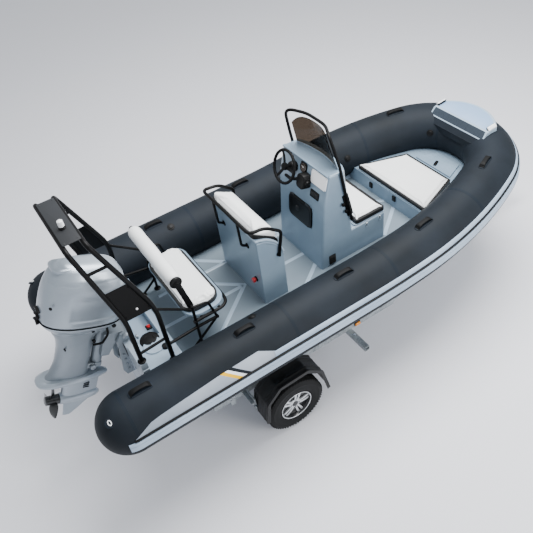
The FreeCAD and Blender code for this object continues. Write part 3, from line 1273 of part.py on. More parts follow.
doc.recompute()
aft_end = min(item.Shape.BoundBox.XMin for item in nodes)
fore_end = max(item.Shape.BoundBox.XMax for item in nodes)
middle_x = (aft_end + fore_end) / 2
for item in nodes:
    moved = item.Placement
    item.Placement = Placement(Vector(-middle_x, 0, 0), Rotation()).multiply(moved)
doc.recompute()

for item in doc.Objects:
    if "Invalid" in item.State or "Error" in item.State:
        raise RuntimeError(f"{item.Label} is broken")
for item in nodes:
    shape = item.Shape
    if shape.isNull() or not shape.isValid():
        raise RuntimeError(f"{item.Label} has no valid shape")
    shape.exportStep(f"parts/{item.Label}.step")
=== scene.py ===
import math

import bmesh
import bpy
from mathutils import Matrix, Vector


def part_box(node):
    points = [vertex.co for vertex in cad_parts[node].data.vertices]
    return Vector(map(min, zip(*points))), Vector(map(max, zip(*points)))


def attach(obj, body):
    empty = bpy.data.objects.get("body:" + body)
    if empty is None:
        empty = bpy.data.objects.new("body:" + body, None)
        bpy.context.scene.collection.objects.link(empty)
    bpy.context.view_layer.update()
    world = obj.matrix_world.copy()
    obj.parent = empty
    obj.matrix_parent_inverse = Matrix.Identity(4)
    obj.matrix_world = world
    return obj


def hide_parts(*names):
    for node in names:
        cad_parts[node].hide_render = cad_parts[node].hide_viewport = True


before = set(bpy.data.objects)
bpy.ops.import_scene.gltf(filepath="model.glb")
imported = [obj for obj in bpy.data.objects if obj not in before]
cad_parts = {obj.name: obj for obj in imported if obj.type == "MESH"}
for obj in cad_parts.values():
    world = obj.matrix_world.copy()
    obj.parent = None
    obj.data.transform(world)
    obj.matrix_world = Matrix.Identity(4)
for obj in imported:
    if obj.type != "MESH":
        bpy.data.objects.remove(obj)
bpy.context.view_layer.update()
scene = bpy.context.scene

# ---- Studio ---------------------------------------------------------------------------------
# A seamless floor of pale matt paper under one broad overhead softbox, with a weak fill from
# the side, as in a product studio. The camera stands high off the starboard quarter.


def linear(colour, alpha=1.0):
    """Turn an sRGB hex colour into the linear values that sockets take."""
    parts = [int(colour[i:i + 2], 16) / 255 for i in (1, 3, 5)]
    return [p / 12.92 if p < 0.04045 else ((p + 0.055) / 1.055) ** 2.4 for p in parts] + [alpha]


def add(tree, kind, settings=None, links=None):
    """Add a node, set its sockets and properties, and link what feeds it."""
    made = tree.nodes.new(kind)
    for name, value in (settings or {}).items():
        if isinstance(name, int) or name in made.inputs:
            made.inputs[name].default_value = value
        else:
            setattr(made, name, value)
    for name, source in (links or {}).items():
        tree.links.new(source, made.inputs[name])
    return made


def new_material(name, settings):
    """A material with one principled shader; returns it with its tree and shader."""
    material = bpy.data.materials.new(name)
    material.use_nodes = True
    tree = material.node_tree
    tree.nodes.clear()
    shader = add(tree, "ShaderNodeBsdfPrincipled", settings)
    add(tree, "ShaderNodeOutputMaterial", links={"Surface": shader.outputs[0]})
    return material, tree, shader


def new_object(name, data):
    """An object that stands in the scene."""
    made = bpy.data.objects.new(name, data)
    scene.collection.objects.link(made)
    return made


FLOOR_HALF = 40.0
floor_mesh = bpy.data.meshes.new("studio_floor")
floor_mesh.from_pydata([(-FLOOR_HALF, -FLOOR_HALF, 0), (FLOOR_HALF, -FLOOR_HALF, 0),
                        (FLOOR_HALF, FLOOR_HALF, 0), (-FLOOR_HALF, FLOOR_HALF, 0)], [], [(0, 1, 2, 3)])
floor = new_object("studio_floor", floor_mesh)
paper, tree, shader = new_material("matt studio paper", {
    "Base Color": linear("#e2e3e8"), "Roughness": 0.95, "Specular IOR Level": 0.1})
floor_mesh.materials.append(paper)

world = bpy.data.worlds.new("studio")
scene.world = world
world.use_nodes = True
world.node_tree.nodes["Background"].inputs["Color"].default_value = linear("#e9ecf1")
world.node_tree.nodes["Background"].inputs["Strength"].default_value = 0.95

# name, place, aimed at, size, watts
SOFTBOXES = (("overhead", (1.2, 0.2, 6.5), (0.2, 0.0, 0.6), 5.0, 900),
             ("fill", (2.5, -7.0, 4.0), (0.0, 0.0, 0.8), 4.0, 420))
for name, place, target, size, watts in SOFTBOXES:
    lamp = bpy.data.lights.new(name, "AREA")
    lamp.shape = "DISK"
    lamp.size = size
    lamp.energy = watts
    lamp_object = new_object(name, lamp)
    lamp_object.location = place
    lamp_object.rotation_euler = (Vector(target) - Vector(place)).to_track_quat("-Z", "Y").to_euler()

# The hull's station zero is at the aft ends of the tubes, 500 mm behind the transom.
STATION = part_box("transom")[0].x - 0.5
up, across, aft = Vector((0, 0, 1)), Vector((0, 1, 0)), Vector((-1, 0, 0))
CAMERA_AT = Vector((STATION + 0.080, -3.657, 4.825))
CAMERA_HEADING, CAMERA_DROP, CAMERA_ROLL = (math.radians(a) for a in (62.907, 43.437, -8.851))
ahead = Vector((math.cos(CAMERA_DROP) * math.cos(CAMERA_HEADING),
                math.cos(CAMERA_DROP) * math.sin(CAMERA_HEADING), -math.sin(CAMERA_DROP)))
level = ahead.cross(up).normalized()
upward = level.cross(ahead)
right = level * math.cos(CAMERA_ROLL) + upward * math.sin(CAMERA_ROLL)
above = upward * math.cos(CAMERA_ROLL) - level * math.sin(CAMERA_ROLL)
camera = new_object("camera", bpy.data.cameras.new("camera"))
camera.data.lens = 41.98
camera.data.sensor_width = 36.0
camera.matrix_world = Matrix((
    (right.x, above.x, -ahead.x, CAMERA_AT.x), (right.y, above.y, -ahead.y, CAMERA_AT.y),
    (right.z, above.z, -ahead.z, CAMERA_AT.z), (0, 0, 0, 1)))
scene.camera = camera


# ---- Air tube -------------------------------------------------------------------------------
# The collar is polyester cloth coated with charcoal synthetic rubber, cut in panels, glued with
# lapped seams and blown up hard. Its line runs straight, then rises and turns in to the bow.

TUBE_LENGTH, BEAM, TUBE_R, TUBE_Z = 4.700, 2.092, 0.242, 1.044
SIDE_TURN, SHEER = math.radians(22), math.radians(5.5)
BOW_R, BOW_FLAT, SHEER_RUN = 0.600, 0.020, 0.600
TUBE_Y = BEAM / 2 - TUBE_R
SIDE_R = (TUBE_Y - BOW_FLAT - BOW_R * math.cos(SIDE_TURN)) / (1 - math.cos(SIDE_TURN))
BOW_RUN = SIDE_R * math.sin(SIDE_TURN) + BOW_R * (1 - math.sin(SIDE_TURN))
TURN_X = TUBE_LENGTH - TUBE_R - BOW_RUN * math.cos(SHEER)
SHEER_R = SHEER_RUN / math.sin(SHEER)
TURN_Z = TUBE_Z + SHEER_R * (1 - math.cos(SHEER))
# run along the centre line at the end of each stretch
RUN_SHEER = TURN_X - SHEER_RUN
RUN_SIDE = RUN_SHEER + SHEER_R * SHEER
RUN_BOW = RUN_SIDE + SIDE_R * SIDE_TURN
RUN_NOSE = RUN_BOW + BOW_R * (math.pi / 2 - SIDE_TURN)
RUN_MIDDLE = RUN_NOSE + BOW_FLAT


def tube_axes(run):
    """Port side: the centre line's point, and its forward, outward and upward directions."""
    if run <= RUN_SHEER:
        return (Vector((STATION + run, TUBE_Y, TUBE_Z)), Vector((1, 0, 0)), Vector((0, 1, 0)),
                Vector((0, 0, 1)))
    if run <= RUN_SIDE:
        angle = (run - RUN_SHEER) / SHEER_R
        point = Vector((STATION + RUN_SHEER + SHEER_R * math.sin(angle), TUBE_Y,
                        TUBE_Z + SHEER_R * (1 - math.cos(angle))))
        return (point, Vector((math.cos(angle), 0, math.sin(angle))), Vector((0, 1, 0)),
                Vector((-math.sin(angle), 0, math.cos(angle))))
    if run <= RUN_BOW:
        turn = (run - RUN_SIDE) / SIDE_R
        along, side = SIDE_R * math.sin(turn), TUBE_Y - SIDE_R * (1 - math.cos(turn))
    elif run <= RUN_NOSE:
        turn = SIDE_TURN + (run - RUN_BOW) / BOW_R
        along = BOW_RUN - BOW_R + BOW_R * math.sin(turn)
        side = BOW_FLAT + BOW_R * math.cos(turn)
    else:
        turn = math.pi / 2
        along, side = BOW_RUN, BOW_FLAT - (run - RUN_NOSE)
    ca, sa = math.cos(SHEER), math.sin(SHEER)
    point = Vector((STATION + TURN_X + along * ca, side, TURN_Z + along * sa))
    forward = Vector((math.cos(turn) * ca, -math.sin(turn), math.cos(turn) * sa))
    outward = Vector((math.sin(turn) * ca, math.cos(turn), math.sin(turn) * sa))
    return point, forward, outward, Vector((-sa, 0, ca))


def on_tube(run, degrees, proud=0.0, side=1):
    """A point on the tube's skin: degrees are measured up from its outer side.
    Aft of the tube's rounded end the skin closes like a ball."""
    angle = math.radians(degrees)
    radius = TUBE_R + proud
    if run < TUBE_R:
        shrink = math.sin(math.acos(min(1, (TUBE_R - run) / TUBE_R)))
        radius = TUBE_R * shrink + proud
    point, _, outward, up = tube_axes(run)
    place = point + (outward * math.cos(angle) + up * math.sin(angle)) * radius
    return Vector((place.x, place.y * side, place.z))


def gather(parts):
    """Points and faces of several closed parts as one."""
    points, faces = [], []
    for more, sheets in parts:
        faces += [tuple(i + len(points) for i in face) for face in sheets]
        points += more
    return points, faces


def piece(name, parts, material, body="boat_and_trailer", replaced=()):
    """One riding object from closed parts, with its normals made to point out."""
    points, faces = gather(parts)
    mesh = bpy.data.meshes.new(name)
    mesh.from_pydata([tuple(point) for point in points], [], faces)
    shape = bmesh.new()
    shape.from_mesh(mesh)
    bmesh.ops.remove_doubles(shape, verts=shape.verts, dist=0.00002)
    bmesh.ops.recalc_face_normals(shape, faces=shape.faces)
    shape.to_mesh(mesh)
    shape.free()
    mesh.materials.append(material)
    mesh.shade_smooth()
    mesh.set_sharp_from_angle(angle=math.radians(38))
    made = new_object(name, mesh)
    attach(made, body)
    if replaced:
        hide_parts(*replaced)
    return made


def loft(rings, capped=True):
    """Points and faces between closed rings of equal length; rings are lists of points."""
    count = len(rings[0])
    faces = []
    for r in range(len(rings) - 1):
        for i in range(count):
            j = (i + 1) % count
            faces.append((r * count + i, r * count + j, (r + 1) * count + j, (r + 1) * count + i))
    if capped:
        faces.append(tuple(range(count - 1, -1, -1)))
        faces.append(tuple((len(rings) - 1) * count + i for i in range(count)))
    return [point for ring in rings for point in ring], faces


def both_sides(rings):
    """Port rings up to the bow, then their mirror images back down the starboard side."""
    return rings + [[Vector((p.x, -p.y, p.z)) for p in ring] for ring in reversed(rings[:-1])]


def turns(count, whole=2 * math.pi):
    """Evenly spaced angles round a circle."""
    return [whole * i / count for i in range(count)]


def surfaced(name, dark, light, rough, grain_mm, relief, patch=2.2, **extra):
    """A finish whose colour drifts between two shades, over a grain in relief."""
    material, tree, shader = new_material(name, {"Roughness": rough})
    place = add(tree, "ShaderNodeTexCoord")
    drift = add(tree, "ShaderNodeTexNoise", {"Scale": patch, "Detail": 4.0, "Roughness": 0.55},
                {"Vector": place.outputs["Object"]})
    shade = add(tree, "ShaderNodeValToRGB", links={"Fac": drift.outputs["Fac"]})
    for stop, colour, where in zip(shade.color_ramp.elements, (dark, light), (0.34, 0.68)):
        stop.color = linear(colour)
        stop.position = where
    grain = add(tree, "ShaderNodeTexNoise", {"Scale": 1000 / grain_mm, "Detail": 2.0},
                {"Vector": place.outputs["Object"]})
    raised = add(tree, "ShaderNodeBump", {"Strength": relief, "Distance": grain_mm / 8000},
                 {"Height": grain.outputs["Fac"]})
    dull = add(tree, "ShaderNodeMapRange", {"To Min": rough - 0.06, "To Max": rough + 0.06},
               {"Value": drift.outputs["Fac"]})
    for source, name in ((shade.outputs["Color"], "Base Color"), (raised.outputs["Normal"], "Normal"),
                         (dull.outputs["Result"], "Roughness")):
        tree.links.new(source, shader.inputs[name])
    for socket, value in extra.items():
        shader.inputs[socket.replace("_", " ")].default_value = value
    return material


# The cloth's weave is 1 mm and shows through the coat; it is drawn at 4 mm so that it shows.
tube_skin = surfaced("charcoal rubber-coated cloth", "#14191e", "#1d232a", 0.60, 4.0, 0.22,
                     Specular_IOR_Level=0.14)
seam_tape = surfaced("charcoal rubber seam tape", "#10171d", "#182029", 0.62, 3.0, 0.25,
                     Specular_IOR_Level=0.14)


def steps(start, end, most):
    """Evenly spaced values from start to end, no further apart than most."""
    count = max(1, math.ceil((end - start) / most))
    return [start + (end - start) * i / count for i in range(count + 1)]


AROUND = 72
runs = [TUBE_R * (1 - math.cos(math.radians(a))) for a in range(2, 90, 4)] + steps(TUBE_R, RUN_SHEER, 0.10)
runs += steps(RUN_SHEER, RUN_SIDE, 0.05)[1:] + steps(RUN_SIDE, RUN_BOW, 0.05)[1:]
runs += steps(RUN_BOW, RUN_NOSE, 0.022)[1:] + [RUN_MIDDLE]
skin = both_sides([[on_tube(run, degrees) for degrees in turns(AROUND, 360)] for run in runs])
piece("air_tube", [loft(skin)], tube_skin, replaced=("tube_collar",))

# Lapped seams go round the tube between its panels.
SEAM_RUNS = (0.245, 1.62, 2.62, 3.62, 4.56)
SEAM_HALF = 0.014
SEAM_SECTION = ((-SEAM_HALF, -0.001), (-SEAM_HALF + 0.0008, 0.0009), (SEAM_HALF - 0.0008, 0.0009),
                (SEAM_HALF, -0.001))
piece("tube_seams", [loft([[on_tube(run + away, degrees, proud, side) for degrees in turns(AROUND, 360)]
                           for away, proud in SEAM_SECTION], capped=False)
                     for run in SEAM_RUNS for side in (1, -1)], seam_tape)


# ---- Rubbing strakes and side panels ----------------------------------------------------------
# The strakes are extruded rubber, glued along the tube's outer side: a light grey fender with a
# groove along it between two black beads, and a flat light strip above. Thin panels of the same
# grey with a white and a yellow stripe are glued on above the fender's aft half.

strake_rubber = surfaced("light grey extruded rubber", "#94a7bb", "#a8b9ca", 0.45, 6.0, 0.1)
bead_rubber = surfaced("black extruded rubber", "#030404", "#070708", 0.5, 6.0, 0.1,
                       Specular_IOR_Level=0.2)


def tube_band(name, start, profile, material, replaced=()):
    """A strip round the boat from start, whose section is a list of (degrees, proud) points."""
    stations = [start] + [run for run in runs if start < run < RUN_MIDDLE] + [RUN_MIDDLE]
    rings = [[on_tube(run, degrees, proud) for degrees, proud in profile] for run in stations]
    piece(name, [loft(both_sides(rings))], material, replaced=replaced)


# degrees above the tube's outer side, metres proud of it
FENDER = [(12.2, -0.002), (11.9, 0.012), (10.4, 0.015), (7.6, 0.0155), (7.0, 0.0125), (6.0, 0.0125),
          (5.4, 0.0155), (-3.0, 0.016), (-5.6, 0.014), (-6.2, -0.002)]
tube_band("fender", 0.155, FENDER, strake_rubber, ("strakes",))
STRIP = [(17.2, -0.002), (17.5, 0.003), (18.2, 0.004), (27.4, 0.004), (27.9, 0.003), (28.1, -0.002)]
tube_band("side_strip", 1.385, STRIP, strake_rubber)
for name, low, high, start in (("bead_upper", 12.2, 17.2, 0.205), ("bead_lower", -13.5, -6.2, 0.17)):
    bead = [(high, -0.002), (high - 0.6, 0.009), ((low + high) / 2, 0.013), (low + 0.6, 0.009),
            (low, -0.002)]
    tube_band(name, start, bead, bead_rubber)


def blend_rows(row, other, count):
    """Rows of numbers that change evenly from one row to just before the other."""
    return [[a + (b - a) * (i / count) for a, b in zip(row, other)] for i in range(count)]


def tube_panel(name, ribs, material, side):
    """A thin glued panel. Each rib is the (run, degrees) low on the tube and higher up, in a row."""
    filled = [row for rib, other in zip(ribs, ribs[1:]) for row in blend_rows(rib, other, 6)] + [ribs[-1]]
    rings = []
    for rib in filled:
        across = blend_rows(rib[:2], rib[2:], 8) + [rib[2:]]
        rings.append([on_tube(run, degrees, PANEL_PROUD, side) for run, degrees in across]
                     + [on_tube(run, degrees, -0.001, side) for run, degrees in reversed(across)])
    piece(name, [loft(rings)], material)


panel_grey = surfaced("grey rubber panel", "#76828f", "#a6aeb8", 0.4, 5.0, 0.1, patch=1.2)
stripe_white = surfaced("white rubber stripe", "#e9ebec", "#f3f4f5", 0.4, 5.0, 0.1)
stripe_yellow = surfaced("yellow rubber stripe", "#eeb600", "#f4be00", 0.5, 5.0, 0.1,
                         Specular_IOR_Level=0.1)
PANEL_PROUD = 0.0014
LOW = 15.5
PANELS = (("side_panel_", panel_grey, ((0.205, LOW, 0.212, LOW + 1.5), (0.235, LOW, 0.357, 31.5),
                                       (0.36, LOW, 0.44, 34), (1.062, LOW, 0.938, 41.5))),
          ("stripe_yellow_", stripe_yellow, ((1.062, LOW, 0.938, 41.5), (1.098, LOW, 0.975, 41.7))),
          ("stripe_white_", stripe_white, ((1.098, LOW, 0.975, 41.7), (1.134, LOW, 1.006, 41.9))),
          ("fore_panel_", panel_grey, ((1.172, LOW, 1.042, 42.5), (1.41, LOW, 1.272, 44),
                                       (1.42, LOW, 1.40, 27.6))))
SIDE_WORDS = ((-1, "right"), (1, "left"))
for side, word in SIDE_WORDS:
    for name, finish, ribs in PANELS:
        tube_panel(name + word, ribs, finish, side)


# ---- Handles, valves and lifting rings on the tube -------------------------------------------
# Each grab handle is moulded rubber: a flat base glued to the tube and a thick strap over it.
# The valves are black plastic, and each ring at the stern is white nylon on a round patch.

handle_rubber = surfaced("black moulded rubber", "#050506", "#090a0b", 0.6, 3.0, 0.3,
                         Specular_IOR_Level=0.16)


def bent(corners, bend, most=7):
    """The centre line of a bent tube: its corners, each rounded by one radius or its own."""
    path = [corners[0]]
    bends = bend if isinstance(bend, tuple) else (bend,) * len(corners)
    for before, corner, after, radius in zip(corners, corners[1:], corners[2:], bends):
        a, b = before - corner, after - corner
        reach = min(radius / math.tan(a.angle(b) / 2), a.length * 0.48, b.length * 0.48)
        start, end = corner + a.normalized() * reach, corner + b.normalized() * reach
        for t in [i / most for i in range(most + 1)]:
            path.append(start * (1 - t) ** 2 + corner * 2 * t * (1 - t) + end * t ** 2)
    return path + [corners[-1]]


def swept(path, section, start_up=None):
    """Rings along a path: the section is a list of (sideways, up), or a function of the share of
    the way along that gives one."""
    rings = []
    up = start_up
    for i, point in enumerate(path):
        ahead = (path[min(i + 1, len(path) - 1)] - path[max(i - 1, 0)]).normalized()
        if up is None:
            up = Vector((0, 0, 1)) if abs(ahead.z) < 0.9 else Vector((1, 0, 0))
        up = (up - ahead * up.dot(ahead)).normalized()
        sideways = ahead.cross(up)
        shape = section(i / (len(path) - 1)) if callable(section) else section
        rings.append([point + sideways * s + up * u for s, u in shape])
    return rings


def circle(radius, around=14):
    """A round section for a pipe."""
    return [(radius * math.cos(a), radius * math.sin(a)) for a in turns(around)]


def rounded_section(half_wide, half_tall, corner, steps_round=4):
    """A rounded rectangle as a closed list of points."""
    outline = []
    for quarter, (sx, sy) in enumerate(((1, 1), (-1, 1), (-1, -1), (1, -1))):
        for i in range(steps_round + 1):
            angle = math.pi / 2 * (quarter + i / steps_round)
            outline.append((sx * (half_wide - corner) + corner * math.cos(angle),
                            sy * (half_tall - corner) + corner * math.sin(angle)))
    return outline


def tube_run_at(x):
    """How far along the centre line the tube is abreast of a station."""
    run = 0.0
    while tube_axes(run)[0].x < STATION + x:
        run += 0.002
    return run


bases, straps = [], []
for station in (0.400, 1.271, 2.214, 3.100, 4.020):
    run = tube_run_at(station)
    for side in (1, -1):
        base_rings = []
        for lift in (-0.002, 0.004, 0.0062):
            edge = 0.0 if lift < 0.005 else 0.004
            outline = rounded_section(0.095 - edge, 0.031 - edge, 0.022)
            base_rings.append([on_tube(run + a, 90 + math.degrees(b / TUBE_R) * side * -1, lift, side)
                               for a, b in outline])
        bases.append(loft(base_rings))
        strap_rings = []
        for i in range(25):
            t = i / 24 * 2 - 1
            rise = 0.030 * math.sqrt(max(0.0, 1 - abs(t) ** 3.2)) + 0.001
            wide = 0.020 + 0.006 * abs(t) ** 2
            section = rounded_section(wide, 0.0055, 0.005, 3)
            centre = on_tube(run + t * 0.083, 90, rise, side)
            sideways = (on_tube(run, 80, 0, side) - on_tube(run, 100, 0, side)).normalized()
            outward = (on_tube(run, 90, 0.01, side) - on_tube(run, 90, 0, side)).normalized()
            along = sideways.cross(outward)
            turn = t * abs(t) ** 4 * 1.2
            lean = outward * math.cos(turn) + along * math.sin(turn)
            strap_rings.append([centre + sideways * s + lean * u for s, u in section])
        straps.append(loft(strap_rings))
piece("handle_bases", bases, seam_tape)
piece("handle_straps", straps, handle_rubber, replaced=("tube_handles",))


def turned(profile, around, centre, axis):
    """A turned part: profile is a list of (along the axis, radius)."""
    axis = axis.normalized()
    sideways = (up if abs(axis.z) < 0.9 else -aft).cross(axis).normalized()
    other = axis.cross(sideways)
    return loft([[centre + axis * along
                  + (sideways * math.cos(a) + other * math.sin(a)) * max(radius, 0.00005)
                  for a in turns(around)] for along, radius in profile])


def on_tube_frame(run, degrees, side, proud=0.0):
    """A point on the tube's skin with its outward normal."""
    point = on_tube(run, degrees, proud, side)
    return point, (on_tube(run, degrees, proud + 0.01, side) - point).normalized()


VALVE = [(-0.002, 0.034), (0.003, 0.034), (0.005, 0.031), (0.005, 0.024), (0.009, 0.022), (0.011, 0.018),
         (0.011, 0.004), (0.010, 0.0)]
VALVE_PLACES = ((1.399, 115, 1), (1.399, 115, -1), (3.374, 160, 1), (3.374, 160, -1), (4.45, 160, 1))
piece("tube_valves", [turned(VALVE, 28, *on_tube_frame(*place)) for place in VALVE_PLACES], bead_rubber)

nylon_white = surfaced("white moulded nylon", "#dfe2e4", "#eef0f1", 0.4, 4.0, 0.1)
patches, lifting_rings = [], []
for side in (-1, 1):
    point, out = on_tube_frame(0.115, 67, side)
    patches.append(turned([(-0.004, 0.036), (0.001, 0.036), (0.0022, 0.034), (0.0022, 0.0)], 28, point, out))
    sideways = out.cross(up).normalized()
    other = sideways.cross(out)
    ring = [point + out * 0.006 + sideways * 0.011 * math.cos(a) + other * 0.019 * math.sin(a)
            for a in turns(28) + [2 * math.pi]]
    lifting_rings.append(loft(swept(ring, circle(0.0036, 10), out), capped=False))
piece("ring_patches", patches, seam_tape)
piece("lifting_rings", lifting_rings, nylon_white)


# ---- Hull -------------------------------------------------------------------------------------
# The bottom is hand-laid glass fibre with a glossy light grey gelcoat: a deep V between two
# chines, with two spray rails on each side and a stainless strip along the keel.

gelcoat_hull = surfaced("glossy light grey gelcoat", "#98a8b8", "#a9b8c7", 0.22, 40.0, 0.06,
                        Coat_Weight=0.5, Coat_Roughness=0.08)
stainless = surfaced("polished stainless steel", "#b9bec2", "#cdd1d4", 0.2, 1.5, 0.06, Metallic=1.0)


def at(x, y, z):
    """A place from its station along the hull, side and height."""
    return Vector((STATION + x, y, z))


def softened(node, width, material, body="boat_and_trailer", segments=2, sharp=28):
    """A part's own shape with its edges rounded as the real moulding or forging is."""
    shape = bmesh.new()
    shape.from_mesh(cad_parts[node].data)
    bmesh.ops.remove_doubles(shape, verts=shape.verts, dist=0.00003)
    bmesh.ops.dissolve_limit(shape, angle_limit=math.radians(1.2), verts=shape.verts, edges=shape.edges)
    edges = [edge for edge in shape.edges
             if len(edge.link_faces) == 2 and edge.calc_face_angle(0) > math.radians(sharp)]
    bmesh.ops.bevel(shape, geom=edges, offset=width, segments=segments, profile=0.6, affect="EDGES",
                    clamp_overlap=True)
    bmesh.ops.recalc_face_normals(shape, faces=shape.faces)
    mesh = bpy.data.meshes.new(node + "_finished")
    shape.to_mesh(mesh)
    shape.free()
    mesh.materials.append(material)
    mesh.shade_smooth()
    made = new_object(node + "_finished", mesh)
    weighted = made.modifiers.new("even_shading", "WEIGHTED_NORMAL")
    weighted.keep_sharp = True
    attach(made, body)
    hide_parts(node)
    return made


softened("hull", 0.006, gelcoat_hull, sharp=12)

# x, keel z, chine half width, chine z
HULL_STATIONS = ((0.515, 0.480, 0.560, 0.660), (2.700, 0.480, 0.560, 0.660), (3.600, 0.510, 0.460, 0.735),
                 (4.150, 0.630, 0.270, 0.850), (4.420, 0.872, 0.060, 0.950))


def bottom_at(x, share):
    """A point on the hull's bottom, from the keel (0) to the chine (1)."""
    for a, b in zip(HULL_STATIONS, HULL_STATIONS[1:]):
        if a[0] <= x <= b[0]:
            t = (x - a[0]) / (b[0] - a[0])
            keel, chine, chine_z = [p + (q - p) * t for p, q in zip(a[1:], b[1:])]
            return chine * share, keel + (chine_z - keel) * share
    return 0, 0


rails = []
for share, start, end in ((0.34, 0.53, 3.9), (0.68, 0.53, 3.7)):
    for side in (1, -1):
        rings = []
        for x in steps(start, end, 0.12):
            fade = min(1.0, (end - x) / 0.5 + 0.02)
            ring = []
            for away, drop in ((-0.035, -0.002), (0.035, 0.016), (0.045, 0.014), (0.05, -0.002)):
                half, z = bottom_at(x, share + away)
                ring.append(at(x, side * half, z - drop * fade))
            rings.append(ring)
        rails.append(loft(rings))
piece("spray_rails", rails, gelcoat_hull)
STRIP_SECTION = ((-0.012, -0.004), (-0.009, 0.002), (0.009, 0.002), (0.012, -0.004))
piece("keel_strip", [loft([[at(x, y, bottom_at(x, 0)[1] - drop) for y, drop in STRIP_SECTION]
                           for x in steps(0.52, 4.40, 0.08)])], stainless)


# ---- Cockpit floor ----------------------------------------------------------------------------
# The floor is a glass fibre moulding with blue-grey non-skid panels, parted by smooth bands
# that stand a millimetre proud and shed water.

nonskid, tree, shader = new_material("blue-grey non-skid gelcoat", {"Roughness": 0.55})
place = add(tree, "ShaderNodeTexCoord")
# The pattern's lozenges are 5 mm apart on the real floor, drawn at 8 mm so that they show.
lozenges = add(tree, "ShaderNodeTexVoronoi", {"Scale": 125.0, "Randomness": 0.15},
               {"Vector": place.outputs["Object"]})
wear = add(tree, "ShaderNodeTexNoise", {"Scale": 1.7, "Detail": 5.0}, {"Vector": place.outputs["Object"]})
tone = add(tree, "ShaderNodeValToRGB", links={"Fac": wear.outputs["Fac"]})
tone.color_ramp.elements[0].color = linear("#65747f")
tone.color_ramp.elements[1].color = linear("#74838e")
pits = add(tree, "ShaderNodeBump", {"Strength": 0.5, "Distance": 0.0012},
           {"Height": lozenges.outputs["Distance"]})
tree.links.new(tone.outputs["Color"], shader.inputs["Base Color"])
tree.links.new(pits.outputs["Normal"], shader.inputs["Normal"])
gelcoat = surfaced("blue-grey gelcoat", "#768b9d", "#869aab", 0.3, 35.0, 0.06,
                   Coat_Weight=0.35, Coat_Roughness=0.12)
gelcoat_light = surfaced("light blue-grey gelcoat", "#8fa3b5", "#9fb2c2", 0.32, 35.0, 0.05,
                         Coat_Weight=0.3, Coat_Roughness=0.12)
softened("deck", 0.002, nonskid)

BAND_HALF = 0.019
# from (x, y) to (x, y): fore and aft bands, then the ones that slant to the sides
BANDS = (((1.00, -0.035), (1.70, -0.035)), ((1.00, 0.335), (1.715, 0.335)),
         ((1.36, 0.255), (1.675, -0.025)), ((1.40, 0.62), (1.70, 0.345)),
         ((1.16, -0.455), (1.675, -0.045)), ((0.86, -0.035), (1.0, -0.035)),
         ((1.99, -0.04), (2.36, -0.04)), ((1.99, 0.335), (2.36, 0.335)), ((1.995, -0.475), (2.36, -0.205)),
         ((1.995, 0.60), (2.33, 0.36)), ((3.06, -0.33), (3.40, -0.07)), ((3.06, 0.33), (3.40, 0.07)),
         ((2.45, 0.40), (3.35, 0.40)), ((2.45, -0.40), (3.35, -0.40)))
bands = []
BAND_SECTION = ((-BAND_HALF, 0.8995), (-BAND_HALF + 0.003, 0.9012), (BAND_HALF - 0.003, 0.9012),
                (BAND_HALF, 0.8995))
for (x0, y0), (x1, y1) in BANDS:
    away = Vector((x1 - x0, y1 - y0, 0)).normalized()
    aside = Vector((-away.y, away.x, 0))
    bands.append(loft([[at(x, y, z) + aside * s for s, z in BAND_SECTION] for x, y in ((x0, y0), (x1, y1))]))
piece("floor_bands", bands, gelcoat_light)


# ---- Transom and aft deck -----------------------------------------------------------------------
# The transom is a plywood board sealed in glass fibre; a black pad spreads the clamps' load.
# The aft deck is a moulding round the motor well, with a black screw-in inspection hatch, a red
# battery switch and the blocks on which the arch's feet stand.

transom_coat = surfaced("light grey gelcoat over board", "#8e9ba6", "#9ba8b3", 0.3, 30.0, 0.08,
                        Coat_Weight=0.3)
softened("transom", 0.006, transom_coat)
black_plastic = surfaced("black moulded plastic", "#040405", "#08090a", 0.45, 2.0, 0.25,
                         Specular_IOR_Level=0.22)
red_plastic = surfaced("red moulded plastic", "#b0101c", "#c4141f", 0.3, 3.0, 0.1, Coat_Weight=0.4)
softened("aft_deck", 0.007, gelcoat_light, sharp=40)


def block(x0, x1, y0, y1, z0, z1, corner, edge=None, levels=3):
    """A block with rounded upright corners and softened top and bottom edges, as a loft."""
    edge = corner * 0.6 if edge is None else edge
    centre = at((x0 + x1) / 2, (y0 + y1) / 2, 0)
    rings = []
    for z, grow in [(z0 + edge * (1 - math.cos(a)), edge * (1 - math.sin(a)))
                    for a in [math.pi / 2 * i / levels for i in range(levels + 1)]] + \
                   [(z1 - edge * (1 - math.sin(a)), edge * (1 - math.cos(a)))
                    for a in [math.pi / 2 * i / levels for i in range(levels + 1)]]:
        outline = rounded_section((x1 - x0) / 2 - grow, (y1 - y0) / 2 - grow, max(corner - grow, 0.0008))
        rings.append([centre + Vector((a, b, z)) for a, b in outline])
    return loft(rings)


